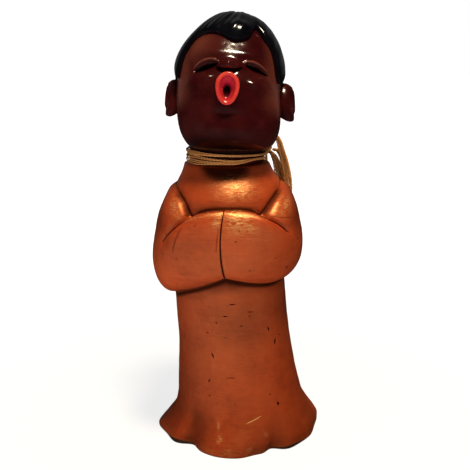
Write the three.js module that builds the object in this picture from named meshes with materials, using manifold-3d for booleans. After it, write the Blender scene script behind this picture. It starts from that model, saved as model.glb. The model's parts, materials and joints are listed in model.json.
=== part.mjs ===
// A choir singer figurine: a hollow cast robe with two folded sleeves laid on it, a tilted
// head with raised hair, ears and singing lips, and a gold cord wound twice round the neck
// and tied in a bow behind the left shoulder. Millimetres, +Z up, the face towards -Y.
import * as THREE from 'three';
import { mergeVertices } from 'three/addons/utils/BufferGeometryUtils.js';
import Module from 'manifold-3d';

const wasm = await Module();
wasm.setup();

// Fits shared by all pieces
const CLEARANCE = 0.3; // between a piece and what carries it
const EDGE = 0.8; // thickness of a laid-on piece at its border

// Robe. Each station gives the oval section at one height.
const HEM_RADIUS = 29.3;
const SKIRT_RADIUS = 20.6;
const CHEST_HALF_WIDTH = 18.2;
const COLLAR_RADIUS = 14.6;
const COLLAR_HEIGHT = 99.9;
const ROBE_WALL = 3.4;
const FOOT_OUTER_RADIUS = 24.3;
const FOOT_WIDTH = 3.6;
const HEM_STEP = 0.65; // the way in from the hem's wall to the recess round the foot ring
const HEM_CREST = 0.2; // the wall under the hem's edge ends this high over the surface
const HEM_WAVE_HEIGHT = 15; // the waves of the hem die out at this height
const FOOT_BEVEL = 0.4;
const FOOT_DEPTH = 4; // the foot ring widens into the hollow above this height
const BORE_BOTTOM = COLLAR_HEIGHT - 6.4; // the neck hole opens into the hollow here
const COLLAR_BEVEL = 0.5;
const ROBE_SEGMENTS = 60;
const SKIRT_HEIGHT = 34; // the flare of the hem ends here
const WAIST_DROP = 33.9; // the waist under the sleeves lies this far below the collar
const ROBE_STATIONS = [
  { z: 0, halfX: HEM_RADIUS, halfY: HEM_RADIUS, x: 0.2, y: 0 },
  { z: 3, halfX: HEM_RADIUS - 1.6, halfY: HEM_RADIUS - 1.4, x: 1, y: 0 },
  { z: 8, halfX: HEM_RADIUS - 4.4, halfY: HEM_RADIUS - 4.2, x: 1.5, y: 0 },
  { z: 13, halfX: 23.2, halfY: 22.9, x: 0.8, y: 0 },
  { z: 20, halfX: SKIRT_RADIUS + 1.5, halfY: SKIRT_RADIUS + 0.9, x: 0, y: -0.1 },
  { z: SKIRT_HEIGHT, halfX: SKIRT_RADIUS, halfY: SKIRT_RADIUS - 0.9, x: -1.2, y: -0.6 },
  { z: COLLAR_HEIGHT - 49.9, halfX: SKIRT_RADIUS - 0.6, halfY: SKIRT_RADIUS - 1.5, x: -2.5, y: -1.9 },
  { z: COLLAR_HEIGHT - WAIST_DROP, halfX: 19.2, halfY: 19.7, x: -3.4, y: -4.4 },
  { z: COLLAR_HEIGHT - 19.9, halfX: CHEST_HALF_WIDTH, halfY: 19.1, x: -3.5, y: -5.9 },
  { z: COLLAR_HEIGHT - 13.9, halfX: 18.4, halfY: 18.7, x: -3.3, y: -6.5 },
  { z: COLLAR_HEIGHT - 9.9, halfX: 18.5, halfY: 17.7, x: -3.2, y: -6.5 },
  { z: COLLAR_HEIGHT - 6.4, halfX: COLLAR_RADIUS + 3.1, halfY: 16.5, x: -3.3, y: -5.9 },
  { z: COLLAR_HEIGHT - 2.9, halfX: COLLAR_RADIUS + 1.1, halfY: 14.9, x: -3.6, y: -4.9 },
  { z: COLLAR_HEIGHT, halfX: COLLAR_RADIUS, halfY: COLLAR_RADIUS - 0.9, x: -3.9, y: -4 },
];
// Each wave pulls the hem in or out and lifts its edge off the surface.
const HEM_WAVES = [
  { angle: 184, out: 0.9, lift: 0.4, spread: 12 },
  { angle: 203, out: -0.9, lift: 0, spread: 12 },
  { angle: 218, out: 0, lift: 1.6, spread: 12 },
  { angle: 230, out: -3.8, lift: 0.2, spread: 8.5 },
  { angle: 243, out: -1, lift: 0, spread: 9 },
  { angle: 283, out: -2, lift: 0, spread: 9 },
  { angle: 297, out: -3.9, lift: 0.2, spread: 7.5 },
  { angle: 311, out: -0.3, lift: 1.3, spread: 12 },
  { angle: 322, out: -0.6, lift: 0.2, spread: 12 },
  { angle: 352, out: -0.7, lift: 0.5, spread: 14 },
  { angle: 12, out: 1.5, lift: 2, spread: 16 },
  { angle: 52, out: -2.6, lift: 0.4, spread: 10 },
  { angle: 96, out: 0.6, lift: 1.6, spread: 18 },
  { angle: 140, out: -2.4, lift: 0.4, spread: 10 },
];

// Sleeves. Matching points of the two borders, as angle round the robe and drop below the collar.
const SLEEVE_GAP = 0.35; // between the two cuffs at the front
const SLEEVE_STEPS_ALONG = 24;
const SLEEVE_STEPS_ACROSS = 14;
const SLEEVE_FULLNESS = 2.6; // exponent of the rounding across; 2 is an ellipse
const ELBOW_CREASE_DEPTH = 2.6;
const ELBOW_CREASE_SPREAD = 0.035; // half width, as a share of the sleeve's length
const ELBOW_CREASE_REACH = 0.42; // how far across the sleeve it runs
const ELBOW_CREASE_LEAN = 0.3; // how much it moves towards the cuff on its way across
const CUFF_BOW = -2.5; // the cuffs' middles lie this far round from their corners, in degrees
const RIGHT_SLEEVE = {
  inner: [[185, 7], [205, 9], [219, 11.6], [230, 16.2], [241, 14.2], [254, 13], [266, 12.8]],
  outer: [[150, 5.4], [146, 13.9], [146, 24.9], [152, 35.4], [188, 45.5], [226, 42.2], [267, 36.3]],
  bulge: [0, 2.1, 4.9, 6.4, 6.8, 4.8, 3],
};
const LEFT_SLEEVE = {
  inner: [[356, 6.4], [335, 8.3], [318.5, 11], [303.5, 15.2], [292, 13.4], [281, 12.9], [266, 12.8]],
  outer: [[390, 5.4], [394, 12.9], [394, 20.9], [388, 27.9], [359, 36.8], [314, 39.4], [267, 36.3]],
  bulge: [0, 2.1, 4.7, 6.5, 6.8, 4.8, 3.2],
};

// Neck and the winding of cord round it
const NECK_RADIUS = 12.95;
const SPIGOT_RADIUS = 8.6;
const SPIGOT_LENGTH = 7;
const CORD_DIAMETER = 1.2;
const CORD_TURNS = 2;
const CORD_PITCH = 2.05;
const KNOT_RADIUS = 2.2;
const KNOT_STANDOFF = 1.8; // between the knot and the winding behind it
const KNOT_ANGLE = 40; // round the neck, from +X towards the back

// Head, an egg-shaped form in its own frame: face towards -Y, crown towards +Z
const HEAD_CENTRE = new THREE.Vector3(-3.1, -4, COLLAR_HEIGHT + 27.1);
const HEAD_TILT = 25; // the face looks up by this angle
const HEAD_ROLL = 4; // and leans towards the left shoulder by this one
const HEAD_SEGMENTS = 46;
const FACE_CROWDING = 38; // how much closer the segments lie over the face, in degrees
const NECK_SEGMENTS = 40;
const HEAD_HALF_WIDTH = 17.5;
const HEAD_HALF_DEPTH = 18.8;
const SKULL_HEIGHT = 22.2; // from the centre up to the crown
const JAW_DEPTH = 26.5; // from the centre down to the jaw
const JAW_FULLNESS = 2.75; // exponent of the outline below the centre; 2 is an ellipse
const JAW_BOTTOM = COLLAR_HEIGHT + 5.5; // height where the jaw meets the neck
const NECK_TOP = COLLAR_HEIGHT + 9.1; // the neck runs up into the head to here
const FACE_FORMS = [
  { name: 'left brow', azimuth: 22, elevation: 7, out: 0.7, wide: 15, high: 5 },
  { name: 'right brow', azimuth: -22, elevation: 7, out: 0.7, wide: 15, high: 5 },
  { name: 'left eye socket', azimuth: 26, elevation: -6, out: -1.3, wide: 11, high: 6 },
  { name: 'right eye socket', azimuth: -24, elevation: -7, out: -1.3, wide: 11, high: 6 },
  { name: 'left eyelid', azimuth: 26, elevation: -4, out: 1.1, wide: 9, high: 3.6 },
  { name: 'right eyelid', azimuth: -24, elevation: -5, out: 1.1, wide: 9, high: 3.6 },
  { name: 'nose', azimuth: -1.5, elevation: -6.5, out: 2.9, wide: 6.5, high: 5 },
  { name: 'left nostril', azimuth: 7.5, elevation: -8.5, out: 1.3, wide: 4, high: 3.6 },
  { name: 'right nostril', azimuth: -9.5, elevation: -8.5, out: 1.3, wide: 4, high: 3.6 },
  { name: 'left cheek', azimuth: 32, elevation: -20, out: 1.3, wide: 15, high: 10 },
  { name: 'right cheek', azimuth: -32, elevation: -20, out: 1.3, wide: 15, high: 10 },
  { name: 'muzzle', azimuth: -1, elevation: -26, out: 1.8, wide: 14, high: 14 },
  { name: 'mouth', azimuth: -1, elevation: -27, out: -3, wide: 6, high: 8.5 },
  { name: 'throat', azimuth: -1.5, elevation: -28.5, out: -3.2, wide: 2.8, high: 4.2 },
  { name: 'crease under the lip', azimuth: 1, elevation: -47, out: -0.7, wide: 12, high: 4 },
  { name: 'chin', azimuth: 0, elevation: -58, out: 0.9, wide: 20, high: 8 },
  { name: 'left jaw', azimuth: 75, elevation: -50, out: 3, wide: 30, high: 20 },
  { name: 'right jaw', azimuth: -80, elevation: -54, out: 0.5, wide: 30, high: 14 },
  { name: 'right slope of the crown', azimuth: -80, elevation: 50, out: -1.2, wide: 44, high: 24 },
  { name: 'left slope of the crown', azimuth: 70, elevation: 55, out: 0.5, wide: 40, high: 20 },
];

// Hair cap. The hairline as pairs of azimuth and elevation on the head, closed round it.
const HAIR_SEAT_GAP = 0.55; // between the hair and the crown
const HAIR_THICKNESS = 1.3;
const HAIR_EDGE = 0.5; // its thickness along the hairline
const HAIRLINE = [
  [-180, -27], [-130, -27], [-118, -18], [-107, -3], [-97, 7], [-86, 7], [-76, 0], [-66, -8],
  [-59, 10], [-47, 28.5], [-30, 33], [-15, 29.5], [5, 21], [18, 27], [30, 42], [39, 30], [48, 21],
  [56, -2], [66, -8], [76, 0], [86, 8], [97, 8], [107, -3], [112, -19], [119, -29], [127, -31],
  [142, -27], [180, -27],
];
const FORELOCK = { azimuth: 6, elevation: 32, out: 1.7, wide: 14, high: 11 };

// Ears and lips, laid on the head
const LEFT_EAR = { side: 1, elevation: -13.8, halfHeight: 6.3, reach: 5.3 }; // reach: how far it stands off
const RIGHT_EAR = { side: -1, elevation: -18.4, halfHeight: 6.2, reach: 3.8 };
const EAR_AZIMUTH = 93;
const EAR_HALF_WIDTH = 3.6;
const EAR_HOLLOW = 2.4; // depth of the shell in front of the rim
const LIP_AZIMUTH = -1;
const LIP_ELEVATION = -26.5;
const LIP_HALF_WIDTH = 3.5;
const LIP_HALF_HEIGHT = 4.9;
const LIP_BAND = 1.5; // width of the ring between its outer and inner edges
const LIP_HEIGHT = 1.5;
const LIP_EDGE = 0.4; // its thickness along both borders

// Free cords of the bow, as points on their centre lines between the knot and their far ends.
// The third number is the height over the collar.
const BOW_CORD_SIDES = 8;
const BOW_LOOPS = {
  bow_loop_outer: [
    [12.6, 6.6, 6.3], [13.9, 6, 7.3], [15.1, 5.8, 5.7], [16.1, 5.8, 2.7], [17.3, 5.9, -0.7],
    [18.3, 6, -4.5], [19, 6, -8.7], [19.1, 6.1, -11.9], [18.9, 6.9, -14.1], [18.5, 8.6, -15],
    [18.1, 10.4, -14.1], [17.9, 11.2, -11.9], [17.9, 11.1, -8.9], [17.4, 10.8, -4.3],
    [16.4, 10.4, -0.3], [14.6, 9.5, 2],
  ],
  bow_loop_inner: [
    [13.4, 7.2, 0.3], [14.9, 7.2, -2.5], [16, 7.4, -5.9], [16.6, 7.6, -9.9], [16.7, 7.8, -13.9],
    [16.5, 8.6, -15.9], [16.2, 10.3, -16.8], [15.9, 12, -15.9], [15.8, 12.8, -13.9],
    [15.7, 12.9, -9.9], [15.2, 12.8, -5.9], [14.3, 12.5, -2.3], [13.1, 11.8, 0.1],
  ],
};
const CORD_TAILS = {
  cord_tail_front: [
    [9, 11.2, -0.5], [8.9, 12.2, -4.9], [9.2, 12.2, -9.9], [9.4, 12.1, -15.9], [9.5, 12.2, -21.9],
    [9.8, 12.8, -28.7],
  ],
  cord_tail_back: [
    [8.2, 11.3, 3.2], [7, 12.3, -1.1], [6.4, 12.6, -7.9], [6.1, 12.9, -15.9], [6, 13.6, -23.9],
    [6.1, 15, -32.4],
  ],
};
const TAIL_KNOT_RADIUS = 1.4;

// Finishes
const COPPER_PAINT = new THREE.MeshStandardMaterial({ color: 0x9a4420, roughness: 0.36, metalness: 0.45 });
const SKIN_ENAMEL = new THREE.MeshStandardMaterial({ color: 0x3b0f0a, roughness: 0.16, metalness: 0 });
const HAIR_ENAMEL = new THREE.MeshStandardMaterial({ color: 0x0c090d, roughness: 0.12, metalness: 0 });
const LIP_ENAMEL = new THREE.MeshStandardMaterial({ color: 0xd23c2a, roughness: 0.2, metalness: 0 });
const GOLD_CORD = new THREE.MeshStandardMaterial({ color: 0xb87a34, roughness: 0.55, metalness: 0.3 });

// Small helpers

const radians = THREE.MathUtils.degToRad;

function spread(offset, width) {
  return Math.exp(-((offset / width) ** 2));
}

// The shortest signed way between two angles in degrees
function turnBetween(angle, other) {
  return THREE.MathUtils.euclideanModulo(angle - other + 180, 360) - 180;
}

// A smooth curve through rows of numbers, read at one position
function smoothThrough(rows, key, value, at) {
  const last = rows.length - 2;
  let i = 0;
  while (i < last && at > rows[i + 1][key]) i += 1;
  const slope = (k) => (rows[k + 1][value] - rows[k][value]) / (rows[k + 1][key] - rows[k][key]);
  const tangent = (k) => {
    if (k === 0) return slope(0);
    if (k === rows.length - 1) return slope(last);
    const before = rows[k][key] - rows[k - 1][key];
    const after = rows[k + 1][key] - rows[k][key];
    return (slope(k - 1) * after + slope(k) * before) / (before + after);
  };
  const step = rows[i + 1][key] - rows[i][key];
  const t = THREE.MathUtils.clamp((at - rows[i][key]) / step, 0, 1);
  const start = (2 * t ** 3 - 3 * t ** 2 + 1) * rows[i][value];
  const end = (3 * t ** 2 - 2 * t ** 3) * rows[i + 1][value];
  const bend = (t ** 3 - 2 * t ** 2 + t) * tangent(i) + (t ** 3 - t ** 2) * tangent(i + 1);
  return start + end + step * bend;
}

// A closed body skinned over rings of points. All rings have the same number of points, and
// a ring may shrink to a point or a line. With joined ends the last ring meets the first.
function skinRings(rings, joinEnds = false) {
  const count = rings[0].length;
  const positions = rings.flat().flatMap((p) => [p.x, p.y, p.z]);
  const bands = joinEnds ? rings.length : rings.length - 1;
  const faces = [];
  for (let i = 0; i < bands; i += 1) {
    const next = (i + 1) % rings.length;
    for (let j = 0; j < count; j += 1) {
      const a = i * count + j;
      const b = i * count + ((j + 1) % count);
      const c = next * count + ((j + 1) % count);
      const d = next * count + j;
      faces.push(a, b, c, a, c, d);
    }
  }
  const geometry = new THREE.BufferGeometry();
  geometry.setAttribute('position', new THREE.Float32BufferAttribute(positions, 3));
  geometry.setIndex(faces);
  return facingOut(geometry);
}

// Merges shared points, drops faces without area and turns the faces outwards
function facingOut(source) {
  const bare = new THREE.BufferGeometry();
  bare.setAttribute('position', source.getAttribute('position'));
  bare.setIndex(source.index);
  const merged = mergeVertices(bare, 1e-4);
  const at = merged.getAttribute('position');
  const corner = [new THREE.Vector3(), new THREE.Vector3(), new THREE.Vector3()];
  const kept = [];
  let volume = 0;
  for (let i = 0; i < merged.index.count; i += 3) {
    const face = [0, 1, 2].map((k) => merged.index.getX(i + k));
    if (new Set(face).size < 3) continue;
    kept.push(...face);
    face.forEach((index, k) => corner[k].fromBufferAttribute(at, index));
    volume += corner[0].dot(corner[1].clone().cross(corner[2]));
  }
  if (volume < 0) kept.reverse();
  merged.setIndex(kept);
  merged.computeVertexNormals();
  return merged;
}

function toManifold(geometry) {
  const bare = facingOut(geometry);
  return new wasm.Manifold(new wasm.Mesh({
    numProp: 3,
    vertProperties: new Float32Array(bare.getAttribute('position').array),
    triVerts: new Uint32Array(bare.index.array),
  }));
}

function fromManifold(solid) {
  const mesh = solid.getMesh();
  const geometry = new THREE.BufferGeometry();
  geometry.setAttribute('position', new THREE.Float32BufferAttribute(mesh.vertProperties, 3));
  geometry.setIndex(Array.from(mesh.triVerts));
  geometry.computeVertexNormals();
  return geometry;
}

function piece(name, geometry, material) {
  const mesh = new THREE.Mesh(geometry, material);
  mesh.name = name;
  return mesh;
}

// Robe

function hemWave(angle, key) {
  const share = (wave) => wave[key] * spread(turnBetween(angle, wave.angle), wave.spread);
  return HEM_WAVES.reduce((sum, wave) => sum + share(wave), 0);
}

// A point of the robe's outside, moved outwards by an offset
function robePoint(angle, height, offset = 0) {
  const fade = Math.max(0, 1 - height / HEM_WAVE_HEIGHT) ** 2;
  const read = (value) => smoothThrough(ROBE_STATIONS, 'z', value, height);
  const out = offset + hemWave(angle, 'out') * fade;
  const turn = radians(angle);
  return new THREE.Vector3(
    read('x') + (read('halfX') + out) * Math.cos(turn),
    read('y') + (read('halfY') + out) * Math.sin(turn),
    height + hemWave(angle, 'lift') * fade,
  );
}

function ringAround(pointAt) {
  return Array.from({ length: ROBE_SEGMENTS }, (_, i) => pointAt((i * 360) / ROBE_SEGMENTS));
}

// A level circle round the axis of the neck or of the hem, whose station is given
function levelPoint(station, angle, radius, height) {
  const turn = radians(angle);
  return new THREE.Vector3(
    station.x + radius * Math.cos(turn),
    station.y + radius * Math.sin(turn),
    height,
  );
}

function makeRobe() {
  const waist = COLLAR_HEIGHT - WAIST_DROP;
  const skirt = [0.25, 0.5, 0.75].map((share) => THREE.MathUtils.lerp(SKIRT_HEIGHT, waist, share));
  const chest = [26.9, 19.9, 13.9, 9.9, 6.4, 4.4, 2.9, 1.4].map((drop) => COLLAR_HEIGHT - drop);
  const outerHeights = [0, 1, 3, 5.5, 8, 10.5, 13, 16, 20, 27, SKIRT_HEIGHT, ...skirt, waist, ...chest];
  const innerHeights = [12, 20, SKIRT_HEIGHT, skirt[1], waist, chest[1], chest[3]];
  const boreRadius = SPIGOT_RADIUS + CLEARANCE;
  const collar = ROBE_STATIONS.at(-1);
  const hem = ROBE_STATIONS[0];
  const rings = [
    ringAround((a) => levelPoint(collar, a, boreRadius, BORE_BOTTOM)),
    ringAround((a) => levelPoint(collar, a, boreRadius, COLLAR_HEIGHT)),
    ringAround((a) => robePoint(a, COLLAR_HEIGHT, -COLLAR_BEVEL)),
    ...outerHeights.toReversed().map((z) => ringAround((a) => robePoint(a, z))),
    ringAround((a) => robePoint(a, 0, -HEM_CREST / 2).setZ(HEM_CREST)),
    ringAround((a) => robePoint(a, 0, -HEM_STEP).setZ(HEM_CREST / 2)),
    ringAround((a) => levelPoint(hem, a, FOOT_OUTER_RADIUS, FOOT_BEVEL)),
    ringAround((a) => levelPoint(hem, a, FOOT_OUTER_RADIUS - FOOT_BEVEL, 0)),
    ringAround((a) => levelPoint(hem, a, FOOT_OUTER_RADIUS - FOOT_WIDTH, 0)),
    ringAround((a) => levelPoint(hem, a, FOOT_OUTER_RADIUS - FOOT_WIDTH, FOOT_DEPTH)),
    ...innerHeights.map((z) => ringAround((a) => robePoint(a, z, -ROBE_WALL))),
  ];
  return skinRings(rings, true);
}

// Sleeves

// The height of a sleeve above the robe: full in the middle, thin at its borders
function sleeveHeight(sleeve, along, across) {
  const knots = sleeve.bulge.map((value, i) => ({ at: i / (sleeve.bulge.length - 1), value }));
  const dome = Math.sqrt(Math.max(0, 1 - Math.abs(2 * across - 1) ** SLEEVE_FULLNESS));
  const fade = Math.max(0, 1 - across / ELBOW_CREASE_REACH);
  const middle = 0.5 + ELBOW_CREASE_LEAN * across;
  const crease = ELBOW_CREASE_DEPTH * spread(along - middle, ELBOW_CREASE_SPREAD) * fade;
  return Math.max(0, smoothThrough(knots, 'at', 'value', along) * dome - crease);
}

function makeSleeve(sleeve, cuffShift) {
  const border = (points) => new THREE.SplineCurve(
    points.map(([angle, drop]) => new THREE.Vector2(angle, COLLAR_HEIGHT - drop)),
  );
  const inner = border(sleeve.inner);
  const outer = border(sleeve.outer);
  const rings = [];
  for (let i = 0; i <= SLEEVE_STEPS_ALONG; i += 1) {
    const along = i / SLEEVE_STEPS_ALONG;
    const from = inner.getPoint(along);
    const to = outer.getPoint(along);
    const top = [];
    const seat = [];
    for (let j = 0; j <= SLEEVE_STEPS_ACROSS; j += 1) {
      const across = (1 - Math.cos((Math.PI * j) / SLEEVE_STEPS_ACROSS)) / 2;
      const spot = from.clone().lerp(to, across);
      const bow = CUFF_BOW * (1 - (2 * across - 1) ** 2) * along ** 2;
      const angle = spot.x + cuffShift * along + bow;
      top.push(robePoint(angle, spot.y, CLEARANCE + EDGE + sleeveHeight(sleeve, along, across)));
      seat.unshift(robePoint(angle, spot.y, CLEARANCE));
    }
    const flat = seat.toReversed();
    if (i === 0) rings.push([...flat, ...seat]);
    rings.push([...top, ...seat]);
    if (i === SLEEVE_STEPS_ALONG) rings.push([...flat, ...seat]);
  }
  return skinRings(rings);
}

// Head

function headPoint(azimuth, elevation, offset = 0) {
  const side = Math.sin(radians(azimuth)) * Math.cos(radians(elevation));
  const back = -Math.cos(radians(azimuth)) * Math.cos(radians(elevation));
  const up = Math.sin(radians(elevation));
  const level = Math.hypot(side / HEAD_HALF_WIDTH, back / HEAD_HALF_DEPTH);
  const fullness = up > 0 ? 2 : JAW_FULLNESS;
  const upright = Math.abs(up) / (up > 0 ? SKULL_HEIGHT : JAW_DEPTH);
  let radius = (level ** fullness + upright ** fullness) ** (-1 / fullness);
  for (const form of FACE_FORMS) {
    const across = turnBetween(azimuth, form.azimuth) * Math.cos(radians(elevation));
    radius += form.out * spread(across, form.wide) * spread(elevation - form.elevation, form.high);
  }
  return new THREE.Vector3(side, back, up).multiplyScalar(radius + offset);
}

// Angles that lie closer together over the face than over the back of the head
function faceSpacing(count) {
  return Array.from({ length: count }, (_, i) => {
    const turn = -180 + (360 * i) / count;
    return turn - FACE_CROWDING * Math.sin(radians(turn));
  });
}

function makeHead(headFrame) {
  const azimuths = faceSpacing(HEAD_SEGMENTS);
  const elevations = [-90, -80, -70, -63, -57, -52, -47, -43, -39, -35, -31, -27, -23, -19, -15,
    -12, -9, -6, -3, 0, 4, 9, 15, 22, 29, 37, 46, 56, 67, 78, 90];
  const skull = toManifold(skinRings(elevations.map((el) => azimuths.map((az) => headPoint(az, el)))));
  const toHead = headFrame.clone().invert();
  const inHead = (geometry, x, y, z) => {
    const placed = new THREE.Matrix4().makeTranslation(x, y, z);
    return toManifold(geometry.applyMatrix4(placed.premultiply(toHead)));
  };
  const { x: centreX, y: centreY } = ROBE_STATIONS.at(-1);
  const seat = COLLAR_HEIGHT + CLEARANCE;
  const profile = [
    [0, seat - SPIGOT_LENGTH], [SPIGOT_RADIUS, seat - SPIGOT_LENGTH], [SPIGOT_RADIUS, seat],
    [NECK_RADIUS, seat], [NECK_RADIUS, NECK_TOP], [0, NECK_TOP],
  ].map(([x, y]) => new THREE.Vector2(x, y));
  const neck = new THREE.LatheGeometry(profile, NECK_SEGMENTS).rotateX(Math.PI / 2);
  const below = new THREE.BoxGeometry(80, 80, 40);
  return fromManifold(
    skull.subtract(inHead(below, 0, 0, JAW_BOTTOM - 20)).add(inHead(neck, centreX, centreY, 0)),
  );
}

// Hair

function hairThickness(azimuth, elevation) {
  const lock = FORELOCK.out * spread(turnBetween(azimuth, FORELOCK.azimuth), FORELOCK.wide)
    * spread(elevation - FORELOCK.elevation, FORELOCK.high);
  return HAIR_THICKNESS + lock;
}

function makeHair() {
  const hairline = HAIRLINE.map(([azimuth, elevation]) => ({ azimuth, elevation }));
  const azimuths = faceSpacing(HEAD_SEGMENTS);
  const shares = [0, 0.12, 0.24, 0.36, 0.48, 0.59, 0.69, 0.78, 0.86, 0.93, 0.98, 1];
  const ring = (share, height) => azimuths.map((azimuth) => {
    const edge = smoothThrough(hairline, 'azimuth', 'elevation', azimuth);
    const elevation = 90 - (90 - edge) * share;
    return headPoint(azimuth, elevation, HAIR_SEAT_GAP + height(azimuth, elevation));
  });
  const outside = shares.map((share) => ring(share, (azimuth, elevation) => {
    const rounding = Math.sqrt(Math.max(0, 1 - share ** 16));
    return HAIR_EDGE + (hairThickness(azimuth, elevation) - HAIR_EDGE) * rounding;
  }));
  const inside = shares.toReversed().map((share) => ring(share, () => 0));
  return skinRings([...outside, ...inside]);
}

// Ears

function makeEar({ side, elevation, halfHeight, reach }) {
  const radius = headPoint(side * EAR_AZIMUTH, elevation, reach / 2).length();
  const degreesPerMm = 180 / (Math.PI * radius);
  const spot = (turn, share, height) => {
    const forward = Math.cos(turn) * EAR_HALF_WIDTH * share;
    const up = Math.sin(turn) * halfHeight * share;
    const azimuth = side * (EAR_AZIMUTH - forward * degreesPerMm);
    return headPoint(azimuth, elevation + up * degreesPerMm, CLEARANCE + height);
  };
  const turns = Array.from({ length: 20 }, (_, i) => (i * Math.PI) / 10);
  const shares = [0, 0.3, 0.55, 0.75, 0.9, 1];
  const outside = shares.map((share) => turns.map((turn) => {
    const dome = Math.sqrt(Math.max(0, 1 - share ** 4));
    const forward = Math.cos(turn) * share;
    const up = Math.sin(turn) * share;
    const rim = reach * (1 - 0.35 * Math.max(0, forward)) * (1 - 0.2 * up);
    const shell = EAR_HOLLOW * spread(forward - 0.25, 0.45) * spread(up - 0.05, 0.5);
    return spot(turn, share, EDGE + (rim - EDGE) * dome - shell * dome);
  }));
  const inside = shares.toReversed().map((share) => turns.map((turn) => spot(turn, share, 0)));
  return skinRings([...outside, ...inside]);
}

// Lips

function makeLips() {
  const degreesPerMm = 180 / (Math.PI * headPoint(LIP_AZIMUTH + 10, LIP_ELEVATION).length());
  const turns = Array.from({ length: 28 }, (_, i) => (i * Math.PI) / 14);
  const spot = (turn, share, height) => {
    const across = Math.cos(turn) * (LIP_HALF_WIDTH - LIP_BAND * (1 - share)) * degreesPerMm;
    const up = Math.sin(turn) * (LIP_HALF_HEIGHT - LIP_BAND * (1 - share)) * degreesPerMm;
    const azimuth = LIP_AZIMUTH + across / Math.cos(radians(LIP_ELEVATION));
    return headPoint(azimuth, LIP_ELEVATION + up, CLEARANCE + height);
  };
  const shares = [0, 0.12, 0.3, 0.5, 0.7, 0.88, 1];
  const outside = shares.map((share) => turns.map((turn) => {
    const dome = Math.sqrt(Math.max(0, 1 - Math.abs(2 * share - 1) ** 2.4));
    return spot(turn, share, LIP_EDGE + (LIP_HEIGHT - LIP_EDGE) * dome);
  }));
  const inside = shares.toReversed().map((share) => turns.map((turn) => spot(turn, share, 0)));
  return skinRings([...outside, ...inside], true);
}

// Cords

// A closed tube of flat-sided section along a curve
function tube(curve, diameter, sides, steps) {
  const section = new THREE.Shape(Array.from({ length: sides }, (_, i) => {
    const turn = (2 * Math.PI * i) / sides;
    return new THREE.Vector2((diameter / 2) * Math.cos(turn), (diameter / 2) * Math.sin(turn));
  }));
  const geometry = new THREE.ExtrudeGeometry(section, { steps, bevelEnabled: false, extrudePath: curve });
  return facingOut(mergeVertices(stripped(geometry), 1e-4));
}

function stripped(geometry) {
  geometry.deleteAttribute('normal');
  geometry.deleteAttribute('uv');
  return geometry;
}

const cordRadius = CORD_DIAMETER / 2;
const windingRadius = NECK_RADIUS + CLEARANCE + cordRadius;
const windingMiddle = COLLAR_HEIGHT + CLEARANCE + cordRadius + (CORD_TURNS * CORD_PITCH) / 2;
const knotDistance = windingRadius + cordRadius + KNOT_STANDOFF + KNOT_RADIUS;
const knotCentre = levelPoint(ROBE_STATIONS.at(-1), KNOT_ANGLE, knotDistance, windingMiddle);

// The cord leaves the knot straight, winds round the neck and comes back to the knot.
class NeckWinding extends THREE.Curve {
  constructor() {
    super();
    const reach = Math.acos(windingRadius / knotDistance);
    this.from = radians(KNOT_ANGLE) - reach;
    this.sweep = 2 * (Math.PI * CORD_TURNS - reach);
    this.wound = this.sweep * windingRadius;
    const start = this.onNeck(0);
    const end = this.onNeck(1);
    this.leaving = this.lead(start);
    this.returning = this.lead(end);
    this.start = start;
    this.end = end;
    this.straight = start.distanceTo(this.leaving);
    this.whole = this.wound + 2 * this.straight;
  }

  // Where the straight lead from this point meets the knot, square to it
  lead(point) {
    const way = point.clone().sub(knotCentre);
    return knotCentre.clone().addScaledVector(way.normalize(), KNOT_RADIUS + CLEARANCE);
  }

  onNeck(share) {
    const turn = this.from - this.sweep * share;
    const { x: centreX, y: centreY } = ROBE_STATIONS.at(-1);
    const rise = CORD_PITCH * CORD_TURNS * (share - 0.5);
    return new THREE.Vector3(
      centreX + windingRadius * Math.cos(turn),
      centreY + windingRadius * Math.sin(turn),
      windingMiddle + rise,
    );
  }

  getPoint(t, target = new THREE.Vector3()) {
    const run = t * this.whole;
    if (run < this.straight) return target.lerpVectors(this.leaving, this.start, run / this.straight);
    if (run > this.straight + this.wound) {
      return target.lerpVectors(this.end, this.returning, (run - this.straight - this.wound) / this.straight);
    }
    return target.copy(this.onNeck((run - this.straight) / this.wound));
  }
}

// The least gap between points of one cord that are at least a quarter turn apart along it
function leastGapToItself(curve, length) {
  const points = curve.getSpacedPoints(400);
  const apart = Math.ceil((windingRadius * Math.PI * 0.5 * 400) / length);
  let least = Infinity;
  points.forEach((point, i) => {
    for (let j = i + apart; j < points.length; j += 1) least = Math.min(least, point.distanceTo(points[j]));
  });
  return least - CORD_DIAMETER;
}

function makeNeckCord() {
  const winding = new NeckWinding();
  const gap = leastGapToItself(winding, winding.whole);
  console.log(`neck cord: least gap to itself ${gap.toFixed(2)} mm`);
  return tube(winding, CORD_DIAMETER, 6, 24 * CORD_TURNS + 4);
}

function makeKnot(radius) {
  return facingOut(stripped(new THREE.SphereGeometry(radius, 12, 8)));
}

// The two points where a cord leaves the knot, straight out towards the next point
function knotEnd(next) {
  const way = next.clone().sub(knotCentre).normalize();
  const seat = KNOT_RADIUS + CLEARANCE;
  return [seat, seat + CORD_DIAMETER].map((reach) => knotCentre.clone().addScaledVector(way, reach));
}

function bowCurve(points, returns) {
  const free = points.map(([x, y, rise]) => new THREE.Vector3(x, y, COLLAR_HEIGHT + rise));
  const back = returns ? knotEnd(free.at(-1)).reverse() : [];
  return new THREE.CatmullRomCurve3([...knotEnd(free[0]), ...free, ...back], false, 'centripetal');
}

function makeBowCord(curve) {
  const steps = Math.round(curve.getLength() / (2.2 * CORD_DIAMETER));
  return tube(curve, CORD_DIAMETER, BOW_CORD_SIDES, steps);
}

// Assembly

const figurine = new THREE.Group();
const body = new THREE.Group();
figurine.add(body);

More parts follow.
